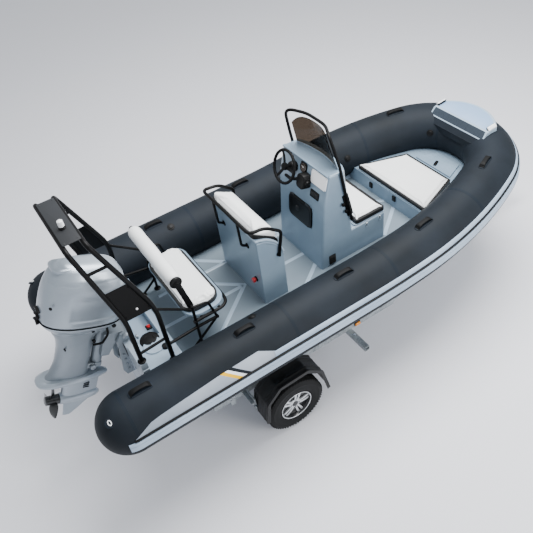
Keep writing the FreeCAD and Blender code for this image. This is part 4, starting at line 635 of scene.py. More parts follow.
piece("clamp_pad", [block(0.4965, 0.502, -0.15, 0.15, 0.93, 1.066, 0.002, 0.001)], black_plastic)
AFT_DECK_Z = 1.0605
HATCH = at(0.69, -0.22, AFT_DECK_Z)
hatch_parts = [turned([(-0.002, 0.082), (0.004, 0.082), (0.007, 0.079), (0.007, 0.071), (0.0055, 0.0695),
                       (0.0055, 0.067), (0.009, 0.065), (0.0105, 0.060), (0.0105, 0.0)], 48, HATCH, up)]
for angle in (0, 120, 240):
    a = math.radians(angle)
    mid = HATCH + Vector((0.038 * math.cos(a), 0.038 * math.sin(a), 0.0105))
    along = Vector((-math.sin(a), math.cos(a), 0))
    rib = [mid + along * t for t in (-0.017, -0.009, 0.009, 0.017)]
    hatch_parts.append(loft(swept(rib, rounded_section(0.005, 0.004, 0.003, 3), up)))
for i in range(8):
    a = math.radians(45 * i + 20)
    hatch_parts.append(turned([(0.005, 0.0045), (0.0085, 0.0045), (0.0098, 0.003), (0.0098, 0)], 10,
                              HATCH + Vector((0.0755 * math.cos(a), 0.0755 * math.sin(a), 0)), up))
piece("inspection_hatch", hatch_parts, black_plastic)
FILLER_CAP = [(-0.002, 0.034), (0.004, 0.034), (0.006, 0.031), (0.016, 0.029), (0.019, 0.026), (0.019, 0.008),
              (0.0165, 0.006), (0.0165, 0)]
piece("filler_cap", [turned(FILLER_CAP, 32, at(0.765, -0.365, AFT_DECK_Z), up)], black_plastic)
piece("switch_base", [block(0.715, 0.765, -0.125, -0.075, 1.0602, 1.078, 0.008)], black_plastic)
switch_key = [turned([(0, 0.014), (0.008, 0.014), (0.011, 0.012), (0.011, 0)], 24,
                     at(0.740, -0.100, 1.0775), up),
              loft(swept([at(0.728, -0.100, 1.089), at(0.740, -0.100, 1.093), at(0.752, -0.100, 1.089)],
                         rounded_section(0.005, 0.007, 0.003, 3), up))]
piece("switch_key", switch_key, red_plastic)


# ---- Stern bench --------------------------------------------------------------------------------
# A bench on bent black tube: a moulded tray holds a thick off-white vinyl cushion, and a foam
# roll in the same vinyl, on two arms, swings up over it as the backrest.

vinyl, tree, shader = new_material("off-white marine vinyl", {
    "Roughness": 0.46, "Specular IOR Level": 0.45, "Sheen Weight": 0.08})
place = add(tree, "ShaderNodeTexCoord")
# The vinyl's grain is 1 mm, drawn at 3 mm so that it shows.
grain = add(tree, "ShaderNodeTexVoronoi", {"Scale": 330.0, "feature": "SMOOTH_F1"},
            {"Vector": place.outputs["Object"]})
soil = add(tree, "ShaderNodeTexNoise", {"Scale": 5.0, "Detail": 5.0}, {"Vector": place.outputs["Object"]})
tint = add(tree, "ShaderNodeValToRGB", links={"Fac": soil.outputs["Fac"]})
tint.color_ramp.elements[0].color = linear("#e3e6e6")
tint.color_ramp.elements[1].color = linear("#eff1f1")
creases = add(tree, "ShaderNodeBump", {"Strength": 0.22, "Distance": 0.0005},
              {"Height": grain.outputs["Distance"]})
tree.links.new(tint.outputs["Color"], shader.inputs["Base Color"])
tree.links.new(creases.outputs["Normal"], shader.inputs["Normal"])
piping_vinyl = surfaced("black vinyl piping", "#050506", "#0a0a0b", 0.5, 2.0, 0.3, Specular_IOR_Level=0.3)
black_coat = surfaced("black powder-coated tube", "#040404", "#070708", 0.42, 1.2, 0.12,
                      Specular_IOR_Level=0.15)


def level_lie(x, y):
    """A cushion that lies level."""
    return 0.0


# share of the cushion's height, how far its side is drawn in there
CUSHION_LEVELS = ((0, 0.006), (0.004, 0.001), (0.25, 0), (0.5, 0), (0.75, 0), (0.94, 0.003), (1.0, 0.014),
                  (1.0, 0.05), (1.0, 0.09))


def pillow(name, outline_at, low, high, start, replaced, body="boat_and_trailer", lie=level_lie,
           crown=level_lie, cap=0.014):
    """A sewn cushion. outline_at(grow) gives its outline in (x, y); low is its height over
    lie(x, y), what it lies on, and high its height over crown(x, y). It starts small and swells."""
    rings = []
    for share, pull in CUSHION_LEVELS:
        rings.append([at(x, y, (low + lie(x, y)) * (1 - share) + (high + crown(x, y)) * share)
                      for x, y in outline_at(-start - pull)])
    points, faces = loft(rings)
    mesh = bpy.data.meshes.new(name)
    mesh.from_pydata([tuple(p) for p in points], [], faces)
    mesh.materials.append(vinyl)
    made = new_object(name, mesh)
    remesh = made.modifiers.new("voxels", "REMESH")
    remesh.mode = "VOXEL"
    remesh.voxel_size = 0.006
    plain = bpy.data.meshes.new_from_object(made.evaluated_get(bpy.context.evaluated_depsgraph_get()))
    made.modifiers.clear()
    made.data = plain
    rest = [v.co.copy() for v in plain.vertices]
    held = made.vertex_groups.new(name="held")
    held.add([v.index for v in plain.vertices
              if v.co.z < low + lie(v.co.x - STATION, v.co.y) + 0.007], 1.0, "REPLACE")
    cloth = made.modifiers.new("cloth", "CLOTH")
    cloth.settings.use_pressure = True
    cloth.settings.uniform_pressure_force = 4.0
    cloth.settings.quality = 4
    cloth.settings.tension_stiffness = 40
    cloth.settings.compression_stiffness = 40
    cloth.settings.bending_stiffness = 2.0
    cloth.settings.effector_weights.gravity = 0
    cloth.settings.vertex_group_mass = "held"
    for frame_number in range(1, 21):
        scene.frame_set(frame_number)
    blown = bpy.data.meshes.new_from_object(made.evaluated_get(bpy.context.evaluated_depsgraph_get()))
    made.modifiers.clear()
    made.vertex_groups.clear()
    made.data = blown
    for vertex, before in zip(blown.vertices, rest):
        move = vertex.co - before
        if move.length > cap:
            vertex.co = before + move * (cap / move.length)
    scene.frame_set(1)
    if not blown.materials:
        blown.materials.append(vinyl)
    soft = made.modifiers.new("round", "SUBSURF")
    soft.levels = soft.render_levels = 1
    made.data.shade_smooth()
    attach(made, body)
    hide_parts(replaced)


def bench_outline(grow):
    """The stern bench's cushion in plan, wider by grow."""
    return [(1.157 + a, b) for a, b in rounded_section(0.160 + grow, 0.382 + grow, 0.108 + grow, 9)]


pillow("bench_pad", bench_outline, 1.2875, 1.336, 0.010, "bench_cushion")


def edge_band(outline, low, high, out, thick=0.004, lie=level_lie):
    """A closed band that follows an outline, such as piping or a cushion's side strip."""
    rings = [[at(x, y, height + lie(x, y)) for x, y in outline(out + grow)]
             for height, grow in ((low, -thick), (low, 0), (high, 0), (high, -thick), (low, -thick))]
    return loft(rings, capped=False)


piece("bench_side_band", [edge_band(bench_outline, 1.2705, 1.304, 0.001, 0.03)], piping_vinyl)
TRAY_LEVELS = ((1.2470, -0.008), (1.2475, 0.0), (1.268, 0.0), (1.2697, -0.002), (1.2697, -0.02))
piece("bench_tray", [loft([[at(1.170 + a, b, z)
                            for a, b in rounded_section(0.176 + grow, 0.424 + grow, 0.125 + grow, 9)]
                           for z, grow in TRAY_LEVELS])], gelcoat)



def pipe(line, radius, around=14, start_up=None):
    """A length of round tube or bar along a line of places."""
    return loft(swept(line, circle(radius, around), start_up))


FRAME_Y, FRAME_LOW, TRAY_BAR_Z = 0.439, 1.165, 1.2337
POST_X, CORNER_X, BRACE_FOOT_X = 1.04, 1.22, 0.90
FLOOR_TOP = 0.9003
pipes = [pipe(bent([at(x, y, TRAY_BAR_Z) for x, y in ((1.02, -FRAME_Y), (1.35, -FRAME_Y), (1.35, FRAME_Y),
                                                      (1.02, FRAME_Y))], 0.11), 0.014, 16, up)]
for x in (1.10, 1.26):
    pipes.append(pipe([at(x, side * FRAME_Y, TRAY_BAR_Z + 0.003) for side in (-1, 1)], 0.0115, 14, up))
for side in (1, -1):
    y = side * FRAME_Y
    joint, corner = at(POST_X, y, FRAME_LOW), at(CORNER_X, y, FRAME_LOW)
    pipes += [pipe([at(0.748, side * 0.476, 1.19), joint], 0.013, 14, up),
              pipe([joint, corner], 0.013, 14, up),
              pipe([at(POST_X, y, 1.402), at(POST_X, y, 0.908)], 0.012),
              pipe(bent([at(1.032, y, 1.39), at(1.17, y, 1.37), corner], 0.05), 0.011, 14, up),
              pipe([corner, at(BRACE_FOOT_X, y, 0.908)], 0.0105, 14, up)]
    for foot in (BRACE_FOOT_X, POST_X):
        pipes.append(turned([(0, 0.031), (0.005, 0.031), (0.007, 0.028), (0.007, 0)], 28,
                            at(foot, y, FLOOR_TOP), up))
        for angle in (45, 135, 225, 315):
            a = math.radians(angle)
            pipes.append(turned([(0.006, 0.0042), (0.0095, 0.0042), (0.0105, 0.003), (0.0105, 0)], 8,
                                at(foot + 0.022 * math.cos(a), y + 0.022 * math.sin(a), FLOOR_TOP), up))
    for point in (corner, joint):
        pipes.append(turned([(-0.016, 0.004), (-0.014, 0.010), (-0.008, 0.015), (0.008, 0.015),
                             (0.014, 0.010), (0.016, 0.004)], 16, point, across))
piece("bench_tubes", pipes, black_coat, replaced=("bench_frame",))

# The roll is turned foam in vinyl. A large black cap closes its starboard end, a small one its
# port end, and each arm runs from the cap down to its pivot on the frame.
ROLL = at(0.985, 0, 1.665)
roll_profile = []
for i in range(49):
    t = i / 48 * 2 - 1
    ends = max(0.0, 1 - abs(t) ** 18) ** 0.5
    roll_profile.append((t * 0.3925, max(0.0575 * ends + 0.001 * math.sin(t * 9) * ends, 0.026)))
roll = piece("backrest_foam", [turned(roll_profile, 48, ROLL, across)], vinyl, "backrest",
             ("backrest_roll",))
ARM_Y = 0.414
# along the roll, radius of the starboard cap
CAP_PROFILE = ((0.3880, 0.048), (0.3955, 0.050), (0.402, 0.0495), (0.4075, 0.046), (0.409, 0.038),
               (0.409, 0.03), (0.411, 0.024), (0.411, 0.0))
arm_parts = []
for side, cap_share in ((1, 0.55), (-1, 1.0)):
    out = across * side
    arm_parts.append(turned([(along, radius * cap_share) for along, radius in CAP_PROFILE], 40, ROLL, out))
    top, foot = ROLL + out * ARM_Y, at(1.040, side * ARM_Y, 1.390)
    blade = [top + (foot - top) * t for t in (-0.07, 0, 0.12, 0.5, 0.88, 1.0, 1.07)]
    widths = (0.012, 0.026, 0.025, 0.024, 0.026, 0.026, 0.012)
    flat = (foot - top).normalized().cross(across)
    arm_parts.append(loft([[p + flat * a + across * b for a, b in rounded_section(w, 0.0049, 0.004, 3)]
                           for p, w in zip(blade, widths)]))
    for end in (top, foot):
        arm_parts.append(turned([(0.0, 0.013), (0.008, 0.013), (0.0105, 0.010), (0.0105, 0.0)], 20, end, out))
piece("backrest_side_arms", arm_parts, black_plastic, "backrest", ("backrest_arms",))


# ---- Helm seat ----------------------------------------------------------------------------------
# A tall moulded box to lean on or sit astride of. Its ends have an arched lip that falls
# forward, the crowned vinyl cushion follows it, and a bent black rail wraps round the back.

SEAT_AFT, SEAT_FORE, SEAT_HALF = 1.710, 1.945, 0.356


def arc_through(first, middle, last):
    """The height at x of the upper arc through three points (x, z)."""
    (ax, az), (bx, bz), (cx, cz) = first, middle, last
    turn = 2 * (ax * (bz - cz) + bx * (cz - az) + cx * (az - bz))
    a2, b2, c2 = ax * ax + az * az, bx * bx + bz * bz, cx * cx + cz * cz
    x0 = (a2 * (bz - cz) + b2 * (cz - az) + c2 * (az - bz)) / turn
    z0 = (a2 * (cx - bx) + b2 * (ax - cx) + c2 * (bx - ax)) / turn
    radius = math.hypot(ax - x0, az - z0)
    return lambda x: z0 + math.sqrt(max(0.0, radius ** 2 - (x - x0) ** 2))


seat_top_at = arc_through((1.710, 1.628), (1.8325, 1.578), (1.945, 1.400))
pad_top_at = arc_through((1.706, 1.714), (1.835, 1.686), (1.927, 1.580))
seat_rings = []
columns = [SEAT_AFT + (SEAT_FORE - SEAT_AFT) * i / 16 for i in range(17)]
# how far in from the box's end, how far its outline is drawn in there
SEAT_ENDS = ((0.0, 0.012), (0.0, 0.004), (0.004, 0.0), (0.03, 0.0))
slices = [(away - SEAT_HALF, pull) for away, pull in SEAT_ENDS] + [(0.0, 0.0)]
slices += [(SEAT_HALF - away, pull) for away, pull in reversed(SEAT_ENDS)]
for y, pull in slices:
    aft_x, fore_x = SEAT_AFT + pull * 0.4, SEAT_FORE - pull * 0.4
    seat_rings.append([at(aft_x, y, FLOOR_TOP), at(aft_x, y, 1.25), at(aft_x, y, 1.618)]
                      + [at(x, y, seat_top_at(x) - pull) for x in columns]
                      + [at(fore_x, y, 1.25), at(fore_x, y, FLOOR_TOP)])
seat_box = piece("helm_seat_shell", [loft(seat_rings)], gelcoat, replaced=("helm_seat_box",))
bevel = seat_box.modifiers.new("soft_edges", "BEVEL")
bevel.width = 0.010
bevel.segments = 3
bevel.limit_method = "ANGLE"
bevel.angle_limit = math.radians(40)
bevel.harden_normals = False
# The lip is a flange that stands off each end, with a groove under it.
lips = []
for side in (1, -1):
    for drop, thick, proud in ((0.004, 0.007, 0.009), (0.036, 0.004, 0.0045)):
        path = [at(x, side * (SEAT_HALF + proud / 2 - 0.002), seat_top_at(x) - drop - thick) for x in columns]
        path[0].x -= 0.002
        lips.append(loft(swept(path, rounded_section(proud / 2 + 0.002, thick, 0.003, 3), up)))
piece("helm_seat_lips", lips, gelcoat_light)
piece("helm_seat_back_lip", [loft(swept(
    [at(SEAT_AFT - 0.004, y, 1.616) for y in (-SEAT_HALF - 0.006, 0, SEAT_HALF + 0.006)],
    rounded_section(0.006, 0.008, 0.004, 3), up))], gelcoat_light)


def seat_lie(x, y):
    """How the helm seat's lower edge follows the seat top."""
    return seat_top_at(min(SEAT_FORE, max(SEAT_AFT, x))) - 1.628


def seat_crown(x, y):
    """How far the cushion's upper face stands from level."""
    return pad_top_at(min(1.925, max(1.706, x))) - 1.714


def seat_outline(grow):
    """The helm seat's cushion in plan, wider by grow."""
    return [(1.8165 + a, b) for a, b in
            rounded_section(0.1105 + grow, 0.341 + grow, max(0.040 + grow, 0.004), 6)]


pillow("helm_pad", seat_outline, 1.632, 1.706, 0.010, "helm_cushion", lie=seat_lie, crown=seat_crown)
piece("helm_pad_band", [edge_band(seat_outline, 1.6245, 1.664, 0.004, 0.02, seat_lie)], piping_vinyl)


def hooked(points, radius, bend):
    """A bent tube from (x, y, z) stations."""
    return pipe(bent([at(*point) for point in points], bend), radius, 16, across)


def flange(place, out, radius=0.026):
    """A tube's round foot plate with three screws."""
    sideways = out.orthogonal().normalized()
    other = out.cross(sideways)
    screws = [turned([(0.004, 0.004), (0.0065, 0.0038), (0.0075, 0.002), (0.0075, 0)], 8,
                     place + (sideways * math.cos(a) + other * math.sin(a)) * radius * 0.74, out)
              for a in (0.5, 2.6, 4.7)]
    disc = turned([(0, radius), (0.0035, radius), (0.005, radius - 0.002), (0.005, 0)], 24, place, out)
    return [disc] + screws


RAIL_SIDE = ((1.895, 1.370), (1.938, 1.612), (1.800, 1.722), (1.650, 1.742))
RAIL_Y, LEG_Y = 0.370, 0.190
rail = [hooked([(x, side * RAIL_Y, z) for x, z in RAIL_SIDE] + [(1.650, 0, 1.745)], 0.014,
               (0.055, 0.20, 0.055)) for side in (1, -1)]
for side in (1, -1):
    rail.append(hooked([(x, side * LEG_Y, z) for x, z in ((1.650, 1.745), (1.658, 1.500), (1.709, 1.465))],
                       0.011, 0.03))
    rail += flange(at(SEAT_AFT - 0.0005, side * LEG_Y, 1.465), aft)
    rail += flange(at(1.897, side * (SEAT_HALF + 0.0005), 1.380), across * side, 0.022)
piece("helm_seat_tubes", rail, black_coat, replaced=("helm_seat_rail",))
knob_at = at(SEAT_AFT, -0.252, 1.130)
piece("seat_switch_plate", [turned([(0, 0.026), (0.004, 0.026), (0.006, 0.022), (0.006, 0)], 28,
                                   knob_at, aft)], black_plastic)
piece("seat_red_knob", [turned([(0.005, 0.013), (0.012, 0.013), (0.016, 0.023), (0.034, 0.024),
                                (0.040, 0.020), (0.040, 0)], 24, knob_at, aft)], red_plastic)


# ---- Console ------------------------------------------------------------------------------------
# One tall glass fibre moulding with a seat on its front. Its aft face carries a door and, on the
# leaning dash above, the instruments; a smoked screen in a bent black rail stands on its top.

console_shell = softened("console", 0.005, gelcoat, sharp=40)
CONSOLE_HALF, SEAT_TOP = 0.332, 1.195
BOWED_FROM, BOWED_TO = 2.560, 2.700
edit = bmesh.new()
edit.from_mesh(console_shell.data)
for cut in range(-4, 5):
    bmesh.ops.bisect_plane(edit, geom=edit.verts[:] + edit.edges[:] + edit.faces[:],
                           plane_co=(0, cut * 0.065, 0), plane_no=(0, 1, 0))
for vertex in edit.verts:
    x, share, z = vertex.co.x - STATION, abs(vertex.co.y) / CONSOLE_HALF, vertex.co.z
    if BOWED_FROM < x < BOWED_TO and z > SEAT_TOP:
        # the front bows forward in plan, most at its top
        rise = min(1.0, (z - SEAT_TOP) / 0.655)
        vertex.co.x += (0.036 * (1 - share ** 2) - 0.030 * share ** 8) * rise * min(
            1.0, (x - BOWED_FROM) / 0.070)
edit.to_mesh(console_shell.data)
edit.free()


def leaning(x0, z0, rise_to):
    """Places on a face that leans forward as it rises: side, height up it, distance out of it."""
    lean = math.atan2(*rise_to)
    return lambda side, up_it, out: at(x0 + up_it * math.sin(lean) - out * math.cos(lean), side,
                                       z0 + up_it * math.cos(lean) + out * math.sin(lean))


door_face = leaning(2.330, 0.900, (65, 700))
dash_face = leaning(2.395, 1.600, (67, 256))


def slab(face, side, up_it, wide, tall, thick, corner, base=-0.001, edge=0.0015):
    """A flat piece with rounded corners on a leaning face, by its middle and whole sizes."""
    levels = ((base, 0), (thick - edge, 0), (thick - edge * 0.3, edge * 0.4), (thick, edge),
              (thick, edge + 0.003))
    return loft([[face(side + a, up_it + b, out) for a, b in
                  rounded_section(wide / 2 - pull, tall / 2 - pull, max(corner - pull, 0.0006))]
                 for out, pull in levels])


def knob_on(face, side, up_it, profile, around=24):
    """A turned part that stands on a leaning face."""
    foot = face(side, up_it, 0)
    return turned(profile, around, foot, face(side, up_it, 1) - foot)


DOOR_UP = 0.4725
LATCH_Y, LATCH_UP = 0.030, 0.485
door_black = surfaced("satin black moulded door", "#060708", "#0a0b0d", 0.38, 3.0, 0.15,
                      Specular_IOR_Level=0.3)
latch_grey = surfaced("dark grey moulded latch", "#24272a", "#2d3134", 0.4, 2.0, 0.2)
piece("console_door_panel", [slab(door_face, 0, DOOR_UP, 0.340, 0.230, 0.0128, 0.055, 0.0006, 0.004),
                             slab(door_face, 0, DOOR_UP, 0.300, 0.190, 0.0148, 0.040, 0.010, 0.002)],
      door_black, "console_door", ("console_door",))
piece("console_door_seal", [slab(door_face, 0, DOOR_UP, 0.350, 0.240, 0.0022, 0.058, -0.002, 0.0008)],
      bead_rubber)
door_parts = [knob_on(door_face, LATCH_Y, LATCH_UP, [(0.012, 0.026), (0.018, 0.026), (0.021, 0.023),
                                                     (0.021, 0.014), (0.0185, 0.012), (0.0185, 0)], 28),
              slab(door_face, LATCH_Y, LATCH_UP, 0.008, 0.026, 0.026, 0.003, 0.018)]
door_parts += [slab(door_face, y, 0.591, 0.050, 0.016, 0.0155, 0.003, 0.010) for y in (-0.11, 0.11)]
piece("console_door_latch", door_parts, latch_grey, "console_door")

SWITCH_AT, PLATE_AT, GAUGE_AT = (-0.195, 0.036), (-0.215, 0.185), (0.000, 0.200)
switch_black = surfaced("black moulded switches", "#0c0d0f", "#121416", 0.4, 2.0, 0.2)
plate_white = surfaced("white laminate plate", "#f4f7f9", "#fbfcfd", 0.35, 12.0, 0.06)
dial_brown = surfaced("brown printed dial", "#3a2f27", "#463a30", 0.3, 3.0, 0.05)
piece("switch_panel", [slab(dash_face, *SWITCH_AT, 0.116, 0.068, 0.008, 0.006),
                       slab(dash_face, *GAUGE_AT, 0.092, 0.092, 0.003, 0.020)], black_plastic)
piece("switch_rockers", [slab(dash_face, SWITCH_AT[0] + 0.019 * i, SWITCH_AT[1], 0.013, 0.030, 0.0125,
                              0.002, 0.007) for i in (-2, -1, 0, 1, 2)], switch_black)
piece("dash_plate", [slab(dash_face, *PLATE_AT, 0.205, 0.124, 0.006, 0.018)], plate_white)
piece("dash_screws", [knob_on(dash_face, PLATE_AT[0] + a, PLATE_AT[1] + b,
                              [(0.005, 0.0042), (0.0075, 0.004), (0.0085, 0.002), (0.0085, 0)], 10)
                      for a in (-0.096, 0.096) for b in (-0.051, 0.051)], stainless)
piece("gauge_bezel", [knob_on(dash_face, *GAUGE_AT, [(0, 0.046), (0.006, 0.046), (0.010, 0.0445),
                                                     (0.0125, 0.041), (0.0125, 0.039), (0.008, 0.0375),
                                                     (0.008, 0.034)], 48)], black_plastic)
piece("gauge_face", [knob_on(dash_face, *GAUGE_AT, [(0.001, 0.0385), (0.0085, 0.0385), (0.0085, 0)], 48)],
      dial_brown)
marks = [slab(dash_face, GAUGE_AT[0] + 0.010, GAUGE_AT[1] + 0.006, 0.024, 0.0022, 0.0105, 0.0008,
              0.0088, 0.0004),
         knob_on(dash_face, *GAUGE_AT, [(0.0085, 0.005), (0.0112, 0.005), (0.0112, 0)], 16)]
for i in range(11):
    a = math.radians(225 - 27 * i)
    marks.append(knob_on(dash_face, GAUGE_AT[0] - 0.031 * math.cos(a), GAUGE_AT[1] + 0.031 * math.sin(a),
                         [(0.0085, 0.0016), (0.0091, 0.0016), (0.0091, 0)], 6))
piece("gauge_marks", marks, stripe_white)

# The throttle: a side-mounted box with a pivot boss, a lever and a grip across its top.
throttle = [slab(dash_face, -0.066, 0.112, 0.104, 0.132, 0.078, 0.034, -0.002, 0.010)]
throttle.append(turned([(-0.002, 0.024), (0.014, 0.024), (0.020, 0.020), (0.020, 0)], 28,
                       dash_face(-0.118, 0.112, 0.040), -across))
grip_foot, grip_top = dash_face(-0.030, 0.120, 0.066), dash_face(0.045, 0.088, 0.090)
throttle.append(loft(swept([grip_foot, grip_foot.lerp(grip_top, 0.5) + aft * 0.004, grip_top],
                           lambda t: rounded_section(0.014 - 0.003 * t, 0.011, 0.005, 3), up)))
throttle.append(turned([(-0.004, 0.006), (-0.002, 0.012), (0.010, 0.0145), (0.040, 0.0135), (0.070, 0.0145),
                        (0.082, 0.011), (0.083, 0)], 24, grip_top - across * 0.004, across))
piece("throttle", throttle, black_plastic, replaced=("dash_fittings",))

# The moulded brow over the dash keeps the sun off the instruments.
brow = [loft(swept([at(2.466, y, 1.853) for y in (-0.318, -0.1, 0.1, 0.318)],
                   rounded_section(0.016, 0.008, 0.006, 4), up))]
piece("dash_brow", brow, gelcoat)

WHEEL = at(2.325, 0.120, 1.795)
rake = math.radians(22)
wheel_axis = Vector((math.cos(rake), 0, -math.sin(rake)))
wheel_up = Vector((math.sin(rake), 0, math.cos(rake)))


def round_wheel(angle, radius, ahead=0.0):
    """A place on the steering wheel: angle from straight up, towards starboard."""
    return (WHEEL + wheel_axis * ahead + wheel_up * radius * math.cos(angle)
            - across * radius * math.sin(angle))


grip = []
for angle in turns(96) + [2 * math.pi]:
    thick = 0.0132 + 0.0008 * math.cos(angle * 24)
    out = (round_wheel(angle, 1.0) - WHEEL).normalized()
    grip.append([round_wheel(angle, 0.141) + out * thick * a + wheel_axis * thick * b
                 for a, b in circle(1.0, 16)])
piece("steering_rim", [loft(grip, capped=False),
                       turned([(-0.015, 0), (-0.015, 0.022), (-0.010, 0.031), (0.004, 0.034), (0.018, 0.032),
                               (0.019, 0)], 36, WHEEL, wheel_axis)],
      handle_rubber, "steering_wheel", ("steering_wheel",))
spokes = []
for angle in (90, 210, 330):
    a = math.radians(angle)
    line = [round_wheel(a, r, d) for r, d in ((0.026, 0.006), (0.05, 0.010), (0.10, 0.008), (0.132, 0.0))]
    spokes.append(loft(swept(line, lambda t: rounded_section(0.016 - 0.004 * t, 0.0035, 0.003, 3),
                             wheel_axis)))
piece("steering_spokes", spokes, black_coat, "steering_wheel")
piece("helm_boss", [turned([(0.0205, 0), (0.0205, 0.013), (0.058, 0.013), (0.058, 0.030), (0.066, 0.040),
                            (0.085, 0.045), (0.16, 0.045), (0.16, 0)], 36, WHEEL, wheel_axis)],
      black_plastic)

# The screen is 6 mm smoked acrylic, bowed forward, with a polished edge.
acrylic, tree, shader = new_material("smoked brown acrylic", {
    "Base Color": linear("#443a31"), "Roughness": 0.04, "IOR": 1.12, "Transmission Weight": 1.0,
    "Specular IOR Level": 0.25})
place = add(tree, "ShaderNodeTexCoord")
haze = add(tree, "ShaderNodeTexNoise", {"Scale": 9.0, "Detail": 5.0}, {"Vector": place.outputs["Object"]})
film = add(tree, "ShaderNodeMapRange", {"To Min": 0.03, "To Max": 0.10}, {"Value": haze.outputs["Fac"]})
tree.links.new(film.outputs["Result"], shader.inputs["Roughness"])
SCREEN_FOOT_X, SCREEN_TOP_X = 2.582, 2.522
SCREEN_FOOT_Z, SCREEN_TOP_Z = 1.849, 2.168
sheets = []
for level in range(13):
    t = level / 12
    half, bow = 0.289 - 0.037 * t, 0.045 + 0.015 * t
    line = []
    for i in range(33):
        u = i / 16 - 1
        line.append((SCREEN_FOOT_X + (SCREEN_TOP_X - SCREEN_FOOT_X) * t + bow * (1 - u * u), half * u,
                     SCREEN_FOOT_Z + (SCREEN_TOP_Z - 0.085 * abs(u) ** 4.5 - SCREEN_FOOT_Z) * t))
    sheets.append([at(x + 0.0055, y, z) for x, y, z in line]
                  + [at(x + 0.0005, y, z) for x, y, z in line[::-1]])
piece("screen", [loft(sheets)], acrylic, replaced=("windscreen",))
# The screen's foot stands in a moulded lip.
lip = [at(2.585 + 0.045 * (1 - u ** 2), 0.292 * u, 1.8535) for u in [i / 8 - 1 for i in range(17)]]
piece("screen_gasket", [loft(swept(lip, rounded_section(0.007, 0.005, 0.003, 3), up))], gelcoat_light)
SCREEN_RAIL = ((2.668, 0.346, 1.330), (2.606, 0.346, 1.640), (2.556, 0.346, 1.930), (2.499, 0.310, 2.202),
               (2.594, 0.130, 2.192), (2.596, 0.0, 2.192))
CLAMP_PLATE = ((2.608, 1.612), (2.638, 1.490), (2.662, 1.375))
rail = [hooked([(x, side * y, z) for x, y, z in SCREEN_RAIL], 0.0135, (0.4, 0.4, 0.17, 0.4))
        for side in (1, -1)]
for side in (1, -1):
    rail.append(turned([(-0.002, 0.0175), (0.004, 0.0175), (0.006, 0.014), (0.006, 0)], 16,
                       at(2.668, side * 0.346, 1.331), -up))
    # a clamp plate between the console's side and the tube, with two hand knobs
    rail.append(loft(swept([at(x, side * 0.3345, z) for x, z in CLAMP_PLATE],
                           rounded_section(0.007, 0.030, 0.004, 3), Vector((1, 0, 0.28)))))
    for x, z in ((2.579, 1.528), (2.608, 1.445)):
        rail.append(turned([(0, 0.006), (0.012, 0.006), (0.012, 0.014), (0.016, 0.017), (0.026, 0.017),
                            (0.029, 0.014), (0.029, 0)], 20, at(x, side * CONSOLE_HALF, z), across * side))
piece("screen_rail", rail, black_coat, replaced=("windscreen_rail",))

# A louvred vent low on each side, and draw latches that hold the seat lid.
def upright(side, y):
    """Places on an upright fore-and-aft face: station, height, distance out of it."""
    return lambda along, height, out: at(along, side * (y + out), height)


vents, latches = [], []
for side in (1, -1):
    side_face = upright(side, CONSOLE_HALF)
    vents.append(slab(side_face, 2.452, 0.965, 0.074, 0.105, 0.004, 0.010))
    for i in range(4):
        z = 0.931 + 0.0225 * i
        vents.append(loft(swept([side_face(2.420, z, 0.006), side_face(2.484, z, 0.006)],
                                rounded_section(0.003, 0.006, 0.002, 2), Vector((0, side, -0.7)))))
    for x in (2.845, 2.995):
        latches += [slab(side_face, x, 1.150, 0.026, 0.042, 0.0035, 0.004),
                    slab(side_face, x, 1.158, 0.018, 0.046, 0.010, 0.005, 0.002, 0.003)]
piece("console_vents", vents, black_plastic)
piece("seat_latches", latches, stainless)

softened("console_seat_lid", 0.004, gelcoat_light, body="seat_lid")


def front_seat_outline(grow):
    """The cushion of the seat before the console, in plan."""
    return [(2.900 + a, b) for a, b in rounded_section(0.160 + grow, 0.320 + grow,
                                                       max(0.016 + grow, 0.003), 6)]


pillow("front_seat_pad", front_seat_outline, 1.2060, 1.250, 0.007, "console_cushion", "seat_lid")
piece("front_seat_piping", [edge_band(front_seat_outline, 1.2048, 1.243, 0.002, 0.03)], piping_vinyl,
      "seat_lid")


# ---- Bow ----------------------------------------------------------------------------------------
# A moulded locker fills the bow: a hinged lid with a cushion, and an anchor hatch before it. A
# ribbed step is moulded over the tube at the very bow, with a lamp on each of its side edges.

softened("bow_locker", 0.005, gelcoat, sharp=40)
piece("locker_latches", [loft([[at(3.4003 - out, y + a, z + b)
                                for a, b in rounded_section(0.022 - pull, 0.030 - pull, 0.006, 3)]
                               for out, pull in ((-0.001, 0), (0.010, 0), (0.013, 0.003))])
                         for y, z in ((0.262, 0.986), (-0.078, 1.012))], black_plastic)
softened("bow_lid", 0.003, gelcoat_light, "bow_hatch")


def bow_outline(grow):
    """The bow cushion in plan: narrower ahead than aft."""
    aft_x, fore_x, aft_half, fore_half = 3.409 - grow, 3.908 + grow, 0.482 + grow, 0.304 + grow
    corners = [Vector((x, y, 0)) for x, y in ((aft_x, 0), (aft_x, -aft_half), (fore_x, -fore_half),
                                              (fore_x, fore_half), (aft_x, aft_half), (aft_x, 0))]
    return [(p.x, p.y) for p in bent(corners, max(0.018 + grow, 0.004))[:-1]]


